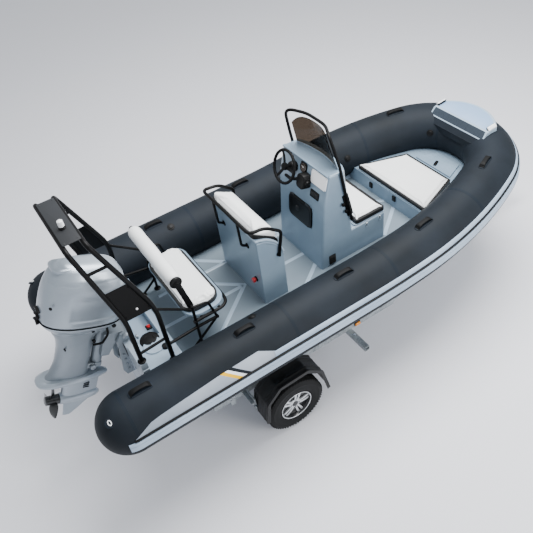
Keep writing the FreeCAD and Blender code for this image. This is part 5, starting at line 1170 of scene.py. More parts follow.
pillow("bow_pad", bow_outline, 1.0760, 1.119, 0.008, "bow_cushion", "bow_hatch", cap=0.012)
piece("bow_pad_piping", [edge_band(bow_outline, 1.0750, 1.108, 0.0015, 0.02)], piping_vinyl,
      "bow_hatch")
softened("anchor_hatch", 0.003, gelcoat, "anchor_hatch")
latch_along = Vector((math.cos(math.radians(25)), math.sin(math.radians(25)), 0))
latch_aside = Vector((-latch_along.y, latch_along.x, 0))
piece("anchor_latch", [loft([[at(4.030, 0.015, 1.0742 + z) + latch_along * a + latch_aside * b
                              for a, b in rounded_section(0.040 - pull, 0.015 - pull, 0.006, 3)]
                             for z, pull in ((-0.001, 0), (0.009, 0), (0.012, 0.003))])],
      black_plastic, "anchor_hatch")
softened("bow_eye", 0.0015, stainless)


def bow_plane(x, y, height):
    """Places by station, side and height over the tube's line, where it rises to the bow."""
    run = (x - TURN_X) / math.cos(SHEER)
    return Vector((STATION + x - height * math.sin(SHEER), y,
                   TURN_Z + run * math.sin(SHEER) + height * math.cos(SHEER)))


STEP_TOP = TUBE_R + 0.038
softened("bow_step", 0.010, gelcoat_light, segments=3, sharp=35)
step_grey = surfaced("light blue-grey moulded step", "#7d9abd", "#8da9c9", 0.42, 3.0, 0.25)
slope_grey = surfaced("dark grey moulded non-skid", "#1b2631", "#25313d", 0.6, 3.0, 0.5)


def step_fore_at(y, grow=0.0):
    """The step's fore edge at a side: an arc through its two corners and its middle."""
    x_side, x_mid, half = 4.440, 4.590, 0.345
    radius = ((x_mid - x_side) ** 2 + half ** 2) / (2 * (x_mid - x_side))
    return x_mid - radius + math.sqrt(max(0.0, (radius - grow) ** 2 - y * y))


TREAD_HALF, TREAD_MID = 0.318, 4.462
outline = [(4.338, -0.300), (4.334, -0.280), (4.334, 0.280), (4.338, 0.300), (4.352, TREAD_HALF)]
outline += [(step_fore_at(y, 0.026), y) for y in [TREAD_HALF * (1 - i / 12) for i in range(25)]]
outline += [(4.352, -TREAD_HALF)]
piece("step_tread", [loft([[bow_plane(TREAD_MID + (x - TREAD_MID) * share, y * share, STEP_TOP + lift)
                            for x, y in outline]
                           for lift, share in ((-0.003, 1), (0.0012, 1), (0.0024, 0.985))])],
      step_grey)
# dark ribs run down the step's aft slope, on a dark panel
ribs = [loft(swept([bow_plane(4.270, i * 0.034, STEP_TOP - 0.055),
                    bow_plane(4.312, i * 0.034, STEP_TOP - 0.008)],
                   rounded_section(0.009, 0.003, 0.0025, 3), up)) for i in range(-9, 10)]


def slope_panel(low_x, low_h, high_x, high_h, half_low, half_high):
    """A thin panel laid on the step's aft slope."""
    return loft([[bow_plane(x, y, STEP_TOP + h + lift) for x, y, h in
                  ((low_x, -half_low, low_h), (high_x, -half_high, high_h), (high_x, half_high, high_h),
                   (low_x, half_low, low_h))] for lift in (-0.006, 0.0018)])


piece("step_slope", [slope_panel(4.266, -0.0595, 4.316, -0.004, 0.332, 0.322)] + ribs, slope_grey)
# below the dark panel an apron of tube fabric closes the step down to the tube; its dark cloth fills the gap
# under the step's aft edge as painted shade, standing in for the shadow there
APRON_HANG = ((-0.345, -0.112), (0.345, -0.112), (0.345, -0.186), (-0.345, -0.186))
piece("step_apron_painted_shade", [slope_panel(4.2135, -0.1165, 4.257, -0.0695, 0.338, 0.334),
                     loft([[bow_plane(x, y, STEP_TOP + h) for y, h in APRON_HANG] for x in (4.222, 4.2125)])],
      tube_skin)

lamp_white = surfaced("white moulded lens", "#e6e8ea", "#f4f5f6", 0.18, 2.0, 0.1, Coat_Weight=0.5)
lamp_amber = surfaced("amber moulded lens", "#e08410", "#f29a1c", 0.18, 2.0, 0.1, Coat_Weight=0.5)


def bow_lamp(side, layers):
    """A lamp's part on the step's sloping side edge: half length, half height, corner, distance out."""
    return loft([[bow_plane(4.392 + a, side * (0.3275 + 0.7 * out - 0.7 * (0.013 + b)),
                            STEP_TOP - 0.005 + 0.7 * (0.013 + b + out))
                  for a, b in rounded_section(half_long, half_tall, corner)]
                 for half_long, half_tall, corner, out in layers])


BEZEL = ((0.052, 0.021, 0.006, 0.0), (0.052, 0.021, 0.006, 0.010), (0.049, 0.0185, 0.005, 0.012),
         (0.046, 0.016, 0.004, 0.0115))
LENS = ((0.050, 0.0195, 0.004, 0.008), (0.050, 0.0195, 0.004, 0.019), (0.044, 0.0155, 0.004, 0.0235),
        (0.024, 0.006, 0.0015, 0.0245))
piece("bow_lamp_bezels", [bow_lamp(side, BEZEL) for side in (1, -1)], black_plastic)
piece("bow_lamp_lenses", [bow_lamp(side, LENS) for side in (1, -1)], lamp_white,
      replaced=("lamps",))


# ---- Arch ---------------------------------------------------------------------------------------
# Two hoops of bent 38 mm tube, powder-coated satin black, are tied by rungs and by a plate on
# each side; a grey plate across the top carries the all-round light.

# foot x, foot z, bend x, top x
LEG = {"rear": (0.528, 1.228, 0.535, 0.366), "fore": (0.760, 1.066, 0.770, 0.500)}


ARCH_BEND_Z, ARCH_TOP_Z = 1.600, 2.285
ARCH_FOOT_HALF, ARCH_BEND_HALF, ARCH_TOP_HALF = 0.520, 0.452, 0.348


def leg_at(which, z, side):
    """Where a leg of the arch is at a height."""
    foot, foot_z, bend, top = LEG[which]
    if z < ARCH_BEND_Z:
        share = (z - foot_z) / (ARCH_BEND_Z - foot_z)
        return at(foot + (bend - foot) * share,
                  side * (ARCH_FOOT_HALF + (ARCH_BEND_HALF - ARCH_FOOT_HALF) * share), z)
    share = (z - ARCH_BEND_Z) / (ARCH_TOP_Z - ARCH_BEND_Z)
    return at(bend + (top - bend) * share,
              side * (ARCH_BEND_HALF + (ARCH_TOP_HALF - ARCH_BEND_HALF) * share), z)


arch = []
for which in LEG:
    foot_z = LEG[which][1]
    heights = ((foot_z, -1), (ARCH_BEND_Z, -1), (ARCH_TOP_Z, -1), (ARCH_TOP_Z, 1), (ARCH_BEND_Z, 1),
               (foot_z, 1))
    arch.append(pipe(bent([leg_at(which, z, side) for z, side in heights], (0.6, 0.070, 0.070, 0.6), 10),
                     0.019, 20, -aft))
    for side in (1, -1):
        foot = leg_at(which, foot_z - 0.0055, side)
        arch.append(turned([(-0.0005, 0.034), (0.005, 0.034), (0.007, 0.031), (0.010, 0.022), (0.016, 0.020),
                            (0.016, 0)], 28, foot, up))
        for a in (0.4, 1.97, 3.54, 5.11):
            arch.append(turned([(0.006, 0.0042), (0.010, 0.0042), (0.011, 0.003), (0.011, 0)], 6,
                               foot + Vector((0.027 * math.cos(a), 0.027 * math.sin(a), 0)), up))
for side in (1, -1):
    for z in (1.290, 2.080):
        arch.append(pipe([leg_at("rear", z, side), leg_at("fore", z, side)], 0.012, 14, up))
    arch.append(pipe([leg_at("fore", 1.575, side), at(POST_X, side * FRAME_Y, 1.370)], 0.011, 14, up))
    corners = [leg_at(which, z, side) for which, z in (("rear", ARCH_BEND_Z), ("fore", ARCH_BEND_Z),
                                                       ("fore", 1.885), ("rear", 1.885))]
    through = (corners[1] - corners[0]).cross(corners[3] - corners[0]).normalized()
    waist = [a.lerp(b, i / 6) for a, b in zip(corners, corners[1:] + corners[:1]) for i in range(6)]
    arch.append(loft([[p + through * d for p in waist] for d in (-0.003, 0.003)]))
    for share, z in ((0.12, 1.63), (0.88, 1.63), (0.12, 1.855), (0.88, 1.855)):
        spot = leg_at("rear", z, side).lerp(leg_at("fore", z, side), share)
        arch.append(turned([(0, 0.007), (0.005, 0.0065), (0.008, 0.004), (0.008, 0)], 8, spot,
                           through * (side if through.y > 0 else -side)))
piece("arch_tubes", arch, black_coat, replaced=("arch_hoops",))
plate_finish = surfaced("dark grey anodised plate", "#17191c", "#1d2024", 0.5, 1.5, 0.15)
PLATE_LOW = 2.3045
plate_screws = [turned([(0.001, 0.007), (0.006, 0.0065), (0.008, 0.004), (0.008, 0)], 10,
                       at(x, y, PLATE_LOW), up) for y in (-0.262, 0.262) for x in (0.385, 0.481)]
piece("arch_top_plate", [block(0.3675, 0.4985, -0.287, 0.287, PLATE_LOW, PLATE_LOW + 0.006, 0.010, 0.0015)]
      + plate_screws, plate_finish, replaced=("arch_plate",))
mast_at = at(0.433, -0.10, 2.3107)
piece("mast_base", [turned([(0, 0.026), (0.006, 0.026), (0.010, 0.0225), (0.020, 0.0225), (0.020, 0)], 32,
                           mast_at, up)], black_plastic)
# the lens is ribbed all round, under a plain dome
mast_profile = [(0.0195, 0.0205)]
for i in range(7):
    z = 0.0215 + i * 0.005
    mast_profile += [(z, 0.0205), (z + 0.0025, 0.0188)]
mast_profile += [(0.0565, 0.0205), (0.062, 0.0195), (0.067, 0.013), (0.0688, 0)]
piece("mast_lens", [turned(mast_profile, 32, mast_at, up)], lamp_white)
plate_side = leg_at("rear", 1.660, -1).lerp(leg_at("fore", 1.660, -1), 0.55)
piece("arch_lamp_lens", [turned([(0.002, 0.009), (0.007, 0.009), (0.011, 0.007), (0.013, 0.003), (0.0135, 0)],
                                24, plate_side, Vector((-0.25, -0.90, 0.25)))], lamp_white)


# ---- Outboard motor -------------------------------------------------------------------------------
# A four-stroke outboard in silver metallic paint: a moulded cowl over a pan, a cast leg with its
# plate, gear case and skeg, and a black three-bladed propeller. It is drawn upright about its
# tilt axis, and stands raised.

silver = surfaced("silver metallic paint", "#98a3ad", "#a8b2bb", 0.33, 1.5, 0.05, Metallic=0.45,
                  Coat_Weight=0.6, Coat_Roughness=0.12)
casting = surfaced("silver painted casting", "#7c868e", "#8d969e", 0.38, 3.0, 0.22, Metallic=0.5,
                   Coat_Weight=0.3)
TILT = math.radians(25)
TILT_X, TILT_Z = 0.545, 1.125
motor_up = Vector((math.sin(TILT), 0, math.cos(TILT)))
motor_fore = Vector((math.cos(TILT), 0, -math.sin(TILT)))


def on_motor(x, y, z):
    """A place on the raised motor, from the one it has upright about its tilt axis."""
    return at(TILT_X, y, TILT_Z) + motor_fore * x + motor_up * z


def eased(table, value):
    """Smooth values between the rows of a table whose first column rises."""
    keys = [row[0] for row in table]
    i = max(0, min(len(keys) - 2, sum(1 for key in keys if key <= value) - 1))
    t = (value - keys[i]) / (keys[i + 1] - keys[i])
    rows = [table[max(0, min(len(table) - 1, i + j))] for j in (-1, 0, 1, 2)]
    result = []
    for a, b, c, d in zip(*[row[1:] for row in rows]):
        result.append(0.5 * (2 * b + (c - a) * t + (2 * a - 5 * b + 4 * c - d) * t * t
                             + (3 * b - a - 3 * c + d) * t ** 3))
    return result


def soft_step(value, low, high):
    """Zero below low, one above high, and a smooth rise between."""
    t = max(0.0, min(1.0, (value - low) / (high - low)))
    return t * t * (3 - 2 * t)


def egg_ring(x0, x1, half, z, around=96, power=3.0, relief=None):
    """A rounded plan section, narrower aft; relief moves its skin in or out."""
    middle, reach = (x0 + x1) / 2, (x1 - x0) / 2
    ring = []
    for a in turns(around):
        u, v = math.cos(a), math.sin(a)
        x = middle + reach * math.copysign(abs(u) ** (2 / power), u)
        aftness = max(0.0, (middle - x) / reach)
        y = half * math.copysign(abs(v) ** (2 / power), v) * (1 - 0.16 * aftness ** 2)
        push = relief(x, y, z) if relief else 0.0
        ring.append(on_motor(x + push * u, y + push * v, z))
    return ring


COWL = ((0.207, -0.674, -0.051, 0.194), (0.230, -0.679, -0.046, 0.199), (0.320, -0.680, -0.045, 0.199),
        (0.420, -0.675, -0.050, 0.193), (0.520, -0.661, -0.062, 0.177), (0.600, -0.636, -0.090, 0.152),
        (0.650, -0.600, -0.130, 0.122), (0.678, -0.560, -0.175, 0.088), (0.688, -0.520, -0.220, 0.054))


def cowl_relief(x, y, z):
    """Side panels sunk behind a crease, a shut line round the top cover, and a lip at the foot."""
    push = 0.0
    if abs(y) > 0.08:
        edge = soft_step(x, -0.520, -0.480) * (1 - soft_step(x, -0.115, -0.085))
        push -= 0.0055 * edge * soft_step(z, 0.262, 0.280) * (1 - soft_step(z, 0.430, 0.520))
    push -= 0.0035 * max(0.0, 1 - abs(z - 0.575 - 0.05 * (x + 0.36)) / 0.005)
    push -= 0.004 * (1 - soft_step(z, 0.207, 0.214))
    return push


levels = [0.207 + 0.006 * i for i in range(4)] + steps(0.232, 0.688, 0.008)
rings = [egg_ring(*eased(COWL, z), z, relief=cowl_relief) for z in levels]
rings += [egg_ring(-0.470, -0.270, 0.026, 0.6895), egg_ring(-0.400, -0.340, 0.006, 0.690)]
piece("cowl_shell", [loft(rings)], silver, "motor", ("motor_cowl",))
# the raised panel on the cowl's top, the grip at its back, and the seal between cowl and pan
crown = []
for lift, pull in ((-0.012, 0.0), (0.004, 0.0), (0.007, 0.004), (0.0075, 0.012)):
    ring = []
    for a, b in rounded_section(0.150 - pull, 0.085 - pull, 0.045 - pull, 6):
        x = -0.475 + a
        z = min(0.690, 0.640 + 0.045 * max(0.0, 1 - (b / 0.17) ** 2) - 0.55 * max(0.0, -0.50 - x) ** 1.4
                - 0.06 * max(0.0, x + 0.42))
        ring.append(on_motor(x, b, z + lift))
    crown.append(ring)
piece("cowl_top_panel", [loft(crown)], silver, "motor")
piece("cowl_seal", [loft([egg_ring(-0.679, -0.046, 0.199, z) for z in (0.2005, 0.2085)]
                         + [egg_ring(-0.664, -0.061, 0.184, z) for z in (0.2085, 0.2005)])],
      bead_rubber, "motor")
latch = [turned([(0, 0.013), (0.004, 0.013), (0.006, 0.010), (0.006, 0)], 20, on_motor(-0.645, -0.148, 0.400),
                -motor_fore - across * 0.9)]
for z in (0.305, 0.255, 0.205):
    latch.append(loft(swept([on_motor(-0.688, y, z - 0.3 * abs(y)) for y in (-0.040, 0, 0.040)],
                            rounded_section(0.009, 0.012, 0.006, 3), -aft)))
piece("cowl_latch", latch, black_plastic, "motor")

PAN = ((0.088, -0.580, -0.150, 0.118), (0.100, -0.592, -0.138, 0.124), (0.140, -0.632, -0.096, 0.158),
       (0.175, -0.662, -0.064, 0.184), (0.200, -0.674, -0.052, 0.194))
piece("pan_shell", [loft([egg_ring(*eased(PAN, z), z) for z in steps(0.088, 0.200, 0.008)])], silver,
      "motor", ("motor_pan",))
# x, side, z, radius: plugs on the pan, then on the leg
PLUGS = ((-0.300, 0.148, 0.128, 0.012), (-0.135, 0.148, 0.150, 0.017), (-0.255, 0.098, -0.02, 0.013),
         (-0.480, 0.098, -0.06, 0.007))
piece("motor_plugs", [turned([(-0.02, r), (0.003, r), (0.005, r - 0.002), (0.005, r * 0.5), (0.002, r * 0.45),
                              (0.002, 0)], 20, on_motor(x, side * y, z), across * side)
                      for side in (1, -1) for x, y, z, r in PLUGS], black_plastic, "motor")

# The leg flares aft up to the pan. A sleeve for the steering tube runs down its fore side.
LEG_TABLE = ((-0.412, -0.585, -0.228, 0.066), (-0.370, -0.560, -0.232, 0.066),
             (-0.250, -0.522, -0.236, 0.078), (-0.100, -0.515, -0.237, 0.098),
             (0.000, -0.535, -0.236, 0.108), (0.0877, -0.580, -0.175, 0.120))
leg_set = [loft([egg_ring(*eased(LEG_TABLE, z), z, 64, 2.6) for z in steps(-0.412, 0.0877, 0.02)]),
           turned([(0, 0.0317), (0.38, 0.0317), (0.38, 0)], 32, on_motor(-0.175, 0, -0.315), motor_up)]
for z0, z1, x0, x1, half in ((0.046, 0.0870, -0.300, -0.117, 0.066), (-0.343, -0.298, -0.300, -0.132, 0.046)):
    leg_set.append(loft([[on_motor((x0 + x1) / 2 + a, b, z) for a, b in
                          rounded_section((x1 - x0) / 2 - pull, half - pull, 0.020 - pull)]
                         for z, pull in ((z0, 0.004), (z0 + 0.004, 0), (z1 - 0.004, 0), (z1, 0.004))]))
for side in (1, -1):
    leg_set.append(turned([(0, 0.024), (0.012, 0.026), (0.020, 0.024), (0.024, 0.016), (0.024, 0)], 24,
                          on_motor(-0.215, side * 0.052, -0.320), across * side))
piece("motor_leg", leg_set, casting, "motor", ("motor_midsection",))
softened("swivel_bracket", 0.005, casting, "swivel", segments=3)
softened("clamp_brackets", 0.004, casting, segments=3)
CLAMP_Y = 0.1145
fittings = []
for side in (1, -1):
    fittings.append(turned([(0, 0.034), (0.010, 0.034), (0.016, 0.028), (0.020, 0.020), (0.024, 0.018),
                            (0.024, 0)], 28, at(TILT_X, side * CLAMP_Y, TILT_Z), across * side))
    for z in (0.760, 0.820, 0.880, 0.940):
        fittings.append(turned([(0, 0.010), (0.006, 0.010), (0.008, 0.007), (0.008, 0)], 6,
                               at(0.470, side * CLAMP_Y, z), across * side))
    fittings.append(turned([(0, 0.009), (0.03, 0.009), (0.03, 0.020), (0.036, 0.022), (0.046, 0.020),
                            (0.046, 0)], 18, at(0.585, side * 0.104, 1.040), -aft))
piece("clamp_fittings", fittings, casting)
rubber_pipes = []
for side, y in ((-1, 0.130), (1, 0.124)):
    line = [on_motor(-0.170, side * 0.090, 0.120), on_motor(-0.165, side * y, 0.060),
            on_motor(-0.200, side * y, -0.020), on_motor(-0.255, side * 0.090, -0.060)]
    rubber_pipes.append(pipe(bent(line, 0.05), 0.0095, 12))
piece("motor_pipes", rubber_pipes, handle_rubber, "motor")


# Plate over the propeller with its upturned sides, strut, gear case, skeg and intake slots.
def plan_ring(outline, z, pull):
    """The plate's outline at a height, drawn in by a share; its sides turn up."""
    middle = sum(x for x, _ in outline) / len(outline)
    return [on_motor(middle + (x - middle) * (1 - pull), y * (1 - pull),
                     z + 0.35 * max(0, abs(y) - 0.06) ** 1.2) for x, y in outline]


def fin_ring(aft_x, fore_x, half, z, taper, around):
    """A section of a strut or fin: an ellipse that is fuller aft by its taper."""
    return [on_motor((aft_x + fore_x) / 2 + (fore_x - aft_x) / 2 * math.cos(a),
                     half * math.sin(a) * (1 - taper * math.cos(a)), z) for a in turns(around)]


half_plate = [(-0.650, 0.0), (-0.648, 0.030), (-0.632, 0.062), (-0.590, 0.090), (-0.540, 0.102),
              (-0.440, 0.104), (-0.330, 0.098), (-0.220, 0.080), (-0.130, 0.052), (-0.080, 0.032),
              (-0.060, 0.014)]
plate = half_plate + [(x, -y) for x, y in reversed(half_plate[1:])]
SHAFT_Z, PROP_X = -0.655, -0.500
# height, how far the plate's outline is drawn in there
PLATE_LEVELS = ((-0.456, 0.12), (-0.446, 0.01), (-0.442, 0.0), (-0.428, 0.0), (-0.422, 0.01), (-0.402, 0.13))
# aft x, fore x, half width, height
STRUT = ((-0.440, -0.130, 0.036, SHAFT_Z), (-0.436, -0.128, 0.037, -0.60), (-0.432, -0.124, 0.040, -0.52),
         (-0.440, -0.116, 0.048, -0.448), (-0.446, -0.180, 0.058, -0.412))
CASE = [(0, 0.030), (0, 0.047), (0.012, 0.051), (0.10, 0.054), (0.20, 0.053), (0.26, 0.046), (0.30, 0.036),
        (0.325, 0.025), (0.338, 0.013), (0.341, 0)]
piece("gear_case", [loft([plan_ring(plate, z, pull) for z, pull in PLATE_LEVELS]),
                    loft([fin_ring(*row, 0.35, 48) for row in STRUT]),
                    turned(CASE, 40, on_motor(-0.4445, 0, SHAFT_Z), motor_fore),
                    loft([fin_ring(-0.405 + 0.010 * t, -0.165 - 0.165 * t ** 1.2, 0.009 - 0.005 * t,
                                   -0.690 - 0.170 * t, 0, 24) for t in steps(0, 1, 0.1)])],
      silver, "motor", ("motor_lower_unit",))
piece("intake_slots", [loft(swept([on_motor(-0.215, side * 0.0385, z), on_motor(-0.265, side * 0.0402, z)],
                                  rounded_section(0.0025, 0.006, 0.002, 2), across * side))
                       for side in (1, -1) for z in (-0.505, -0.527, -0.549)],
      black_plastic, "motor")

# Each blade is cupped and swept, thick at the root and thin at its edge.
HUB_R, BLADE_R = 0.036, 0.158
prop = [turned([(-0.060, 0), (-0.060, 0.030), (-0.055, 0.038), (0.0, 0.0415), (0.050, 0.044), (0.0545, 0.044),
                (0.0545, 0)], 40, on_motor(PROP_X, 0, SHAFT_Z), motor_fore)]
for number in range(3):
    rows = []
    for t in steps(0, 1, 0.1):
        radius = HUB_R + (BLADE_R - HUB_R) * t
        pitch = math.radians(58 - 34 * t)
        fullness = 1.0 + 0.55 * math.sin(math.pi * min(1, t * 1.05) ** 0.9)
        chord = 0.046 * fullness * math.sqrt(max(0.04, 1 - t ** 5))
        row = []
        for a in turns(20):
            along = chord * math.cos(a)
            thick = (0.0058 * (1 - 0.75 * t)) * math.sin(a) + 0.006 * (math.cos(a) ** 2 - 0.5)
            axial = along * math.sin(pitch) * 0.55 + thick * math.cos(pitch) - 0.012 * t
            aside = along * math.cos(pitch) - thick * math.sin(pitch) + 0.012 * t * t
            phi = math.radians(120 * number) + aside / max(radius, 0.05) * 0.9
            row.append(on_motor(PROP_X + axial, radius * math.sin(phi), SHAFT_Z + radius * math.cos(phi)))
        rows.append(row)
    prop.append(loft(rows))
prop_black = surfaced("black enamelled aluminium", "#141517", "#1d1f21", 0.32, 2.0, 0.12, Coat_Weight=0.3)
piece("propeller_blades", prop, prop_black, "propeller", ("propeller",))
softened("motor_block", 0.006, casting, "motor", sharp=35)


# ---- Trailer frame ------------------------------------------------------------------------------
# A road trailer welded from square steel tube and dipped in zinc: two rails that close on the
# drawbar, cross tubes, side arms for a lamp board and, on the axle, two sprung swing arms.

zinc, tree, shader = new_material("hot-dip galvanised steel", {"Metallic": 0.75, "Roughness": 0.42})
place = add(tree, "ShaderNodeTexCoord")
spangle = add(tree, "ShaderNodeTexVoronoi", {"Scale": 70.0}, {"Vector": place.outputs["Object"]})
weather = add(tree, "ShaderNodeTexNoise", {"Scale": 7.0, "Detail": 6.0}, {"Vector": place.outputs["Object"]})
flake = add(tree, "ShaderNodeSeparateColor", links={0: spangle.outputs["Color"]})
blend = add(tree, "ShaderNodeMath", {"operation": "MULTIPLY_ADD", 1: 0.35}, {0: flake.outputs[0],
                                                                            2: weather.outputs["Fac"]})
tint = add(tree, "ShaderNodeValToRGB", links={"Fac": blend.outputs[0]})
tint.color_ramp.elements[0].position = 0.35
tint.color_ramp.elements[0].color = linear("#7d8487")
tint.color_ramp.elements[1].position = 0.95
tint.color_ramp.elements[1].color = linear("#b3b9bc")
gloss = add(tree, "ShaderNodeMapRange", {"To Min": 0.34, "To Max": 0.55}, {"Value": flake.outputs[1]})
tree.links.new(tint.outputs["Color"], shader.inputs["Base Color"])
tree.links.new(gloss.outputs["Result"], shader.inputs["Roughness"])
for member in ("trailer_rails", "trailer_cross_tubes", "trailer_brackets"):
    softened(member, 0.004, zinc, sharp=35)
axle_paint = surfaced("black chassis paint", "#141517", "#1f2123", 0.45, 2.0, 0.3)
softened("trailer_axle", 0.004, axle_paint, sharp=35)

copies_tree = bpy.data.node_groups.new("copies round an axis", "GeometryNodeTree")
sockets = {name: copies_tree.interface.new_socket(name, in_out="INPUT", socket_type=kind).identifier
           for name, kind in (("Item", "NodeSocketGeometry"), ("Count", "NodeSocketInt"),
                              ("Radius", "NodeSocketFloat"), ("Step", "NodeSocketVector"),
                              ("In a ring", "NodeSocketBool"), ("Finish", "NodeSocketMaterial"))}
copies_tree.interface.new_socket("Copies", in_out="OUTPUT", socket_type="NodeSocketGeometry")
source = add(copies_tree, "NodeGroupInput")
ring_points = add(copies_tree, "GeometryNodeMeshCircle", links={"Vertices": source.outputs["Count"],
                                                                "Radius": source.outputs["Radius"]})
row_points = add(copies_tree, "GeometryNodeMeshLine", links={"Count": source.outputs["Count"],
                                                             "Offset": source.outputs["Step"]})
spot = add(copies_tree, "GeometryNodeInputPosition")
facing = add(copies_tree, "FunctionNodeAlignRotationToVector", {"axis": "X", "pivot_axis": "Z"},
             {"Vector": spot.outputs[0]})
round_copies = add(copies_tree, "GeometryNodeInstanceOnPoints", links={
    "Points": ring_points.outputs[0], "Instance": source.outputs["Item"], "Rotation": facing.outputs[0]})
row_copies = add(copies_tree, "GeometryNodeInstanceOnPoints", links={
    "Points": row_points.outputs[0], "Instance": source.outputs["Item"]})
chosen = add(copies_tree, "GeometryNodeSwitch", {"input_type": "GEOMETRY"})
copies_tree.links.new(source.outputs["In a ring"], chosen.inputs["Switch"])
copies_tree.links.new(row_copies.outputs[0], chosen.inputs["False"])
copies_tree.links.new(round_copies.outputs[0], chosen.inputs["True"])
solid_copies = add(copies_tree, "GeometryNodeRealizeInstances", links={0: chosen.outputs[0]})
painted = add(copies_tree, "GeometryNodeSetMaterial", links={"Geometry": solid_copies.outputs[0],
                                                             "Material": source.outputs["Finish"]})
add(copies_tree, "NodeGroupOutput", links={0: painted.outputs[0]})


def copies(item, count, placed, radius=0.0, step=(0, 0, 0), material=None):
    """Copies of a small closed shape, round the z axis or in a row; placed(point) sets each
    point of the result where it belongs."""
    mesh = bpy.data.meshes.new("item")
    mesh.from_pydata([tuple(p) for p in item[0]], [], item[1])
    holder = new_object("item", mesh)
    maker = holder.modifiers.new("copies", "NODES")
    maker.node_group = copies_tree
    for name, value in (("Count", count), ("Radius", radius), ("Step", step), ("In a ring", radius > 0),
                        ("Finish", material or zinc)):
        maker[sockets[name]] = value
    made = bpy.data.meshes.new_from_object(holder.evaluated_get(bpy.context.evaluated_depsgraph_get()))
    bpy.data.objects.remove(holder)
    return [placed(v.co) for v in made.vertices], [tuple(f.vertices) for f in made.polygons]


def hex_head(place_at, out, radius=0.0095, tall=0.007):
    """A hexagon bolt head on its washer."""
    return [turned([(0, radius * 1.35), (0.0018, radius * 1.35), (0.0018, 0)], 20, place_at, out),
            turned([(0.0017, radius), (tall, radius), (tall + 0.0015, radius * 0.8), (tall + 0.0015, 0)], 6,
                   place_at, out)]


# The rear guard stays are strips of steel, each a row of square plates with a punched hole.
STRIP_X, STRIP_Y, STRIP_Z = 1.2142, 0.837, 0.3315
STRIP_HALF, STRIP_THICK, HOLE_R, HOLE_PITCH = 0.022, 0.0045, 0.0065, 0.0225
plate_edge, hole_edge = [], []
for i in range(24):
    a = 2 * math.pi * (i + 0.5) / 24
    reach = min(STRIP_HALF / abs(math.cos(a)), HOLE_PITCH / 2 / abs(math.sin(a)))
    plate_edge.append((reach * math.cos(a), reach * math.sin(a)))
    hole_edge.append((HOLE_R * math.cos(a), HOLE_R * math.sin(a)))
punched = loft([[Vector((x, y, z)) for x, y in edge]
                for edge, z in ((plate_edge, -STRIP_THICK), (plate_edge, 0), (hole_edge, 0),
                                (hole_edge, -STRIP_THICK), (plate_edge, -STRIP_THICK))], capped=False)
piece("guard_stay_strips",
      [copies(punched, 8, lambda p, side=side: at(STRIP_X - p.z, side * (STRIP_Y + p.x), STRIP_Z + p.y),
              step=(0, HOLE_PITCH, 0)) for side in (1, -1)], zinc)
RAIL_FACE, DRAWBAR_FACE = 0.7123, 0.0403
bolts = []
for side in (1, -1):
    for x in (1.062, 1.098):
        bolts += hex_head(at(x, side * RAIL_FACE, 0.470), across * side)
        bolts += hex_head(at(x, side * RAIL_FACE, 0.445), across * side, 0.006, 0.005)
    for x, y, z in ((1.660, 0.690, 0.5003), (1.720, 0.690, 0.5003), (1.194, 0.90, 0.4663),
                    (2.330, 0.780, 0.4203)):
        bolts += hex_head(at(x, side * y, z), up)
    for x in (4.020, 4.200):
        bolts += hex_head(at(x, side * DRAWBAR_FACE, 0.380), across * side, 0.0105)
piece("trailer_bolts", bolts, stainless)
LAMP_X, LAMP_Z = 2.415, 0.4615
rail_faces = [upright(side, 0.7122) for side in (1, -1)]
piece("side_lamp_feet", [slab(face, LAMP_X, LAMP_Z, 0.064, 0.036, 0.008, 0.006) for face in rail_faces],
      black_plastic)
piece("side_lamp_covers", [slab(face, LAMP_X, LAMP_Z, 0.058, 0.030, 0.0215, 0.008, 0.006, 0.006)
                           for face in rail_faces], lamp_amber)


# ---- Wheels and mudguards -----------------------------------------------------------------------
# Small road wheels: a rubber tyre on a black-painted alloy rim whose five pairs of spokes are
# machined bright. Each turns under an angular black plastic guard with a raised outer lip.

tyre_rubber = surfaced("black tyre rubber", "#08090a", "#101112", 0.72, 1.6, 0.5, Specular_IOR_Level=0.25)
rim_black = surfaced("black painted alloy", "#0f1012", "#191a1c", 0.3, 2.0, 0.1, Coat_Weight=0.4)
rim_bright = surfaced("machined bright alloy", "#d4d7da", "#e6e8ea", 0.30, 0.8, 0.2, Metallic=0.7)
WHEEL_X, WHEEL_Z, WHEEL_Y = 1.527, 0.280, 0.915
half_section = [(0.0, 0.2772), (0.0095, 0.2772), (0.0100, 0.2800), (0.0300, 0.2798), (0.0305, 0.2725),
                (0.0375, 0.2725), (0.0380, 0.2790), (0.0560, 0.2765), (0.0660, 0.2705), (0.0745, 0.258),
                (0.0800, 0.240), (0.0815, 0.238), (0.0815, 0.234), (0.0805, 0.232), (0.0822, 0.210),
                (0.0815, 0.190), (0.0780, 0.172), (0.0735, 0.1580), (0.0700, 0.1537), (0.0400, 0.1533)]
tyre_section = half_section + [(-a, r) for a, r in reversed(half_section[1:])]
BARREL = ((-0.0745, 0.1530), (0.0745, 0.1530), (0.0760, 0.1520), (0.0760, 0.1450), (0.0730, 0.1430),
          (0.0480, 0.1400), (0.0420, 0.1380), (0.0380, 0.017), (0.0300, 0.017), (0.0290, 0.1300),
          (-0.060, 0.1360), (-0.0700, 0.1450), (-0.0745, 0.1460))
RIM_LIP = ((0.0756, 0.1522), (0.0772, 0.1515), (0.0772, 0.1455), (0.0750, 0.1440), (0.0740, 0.1450))
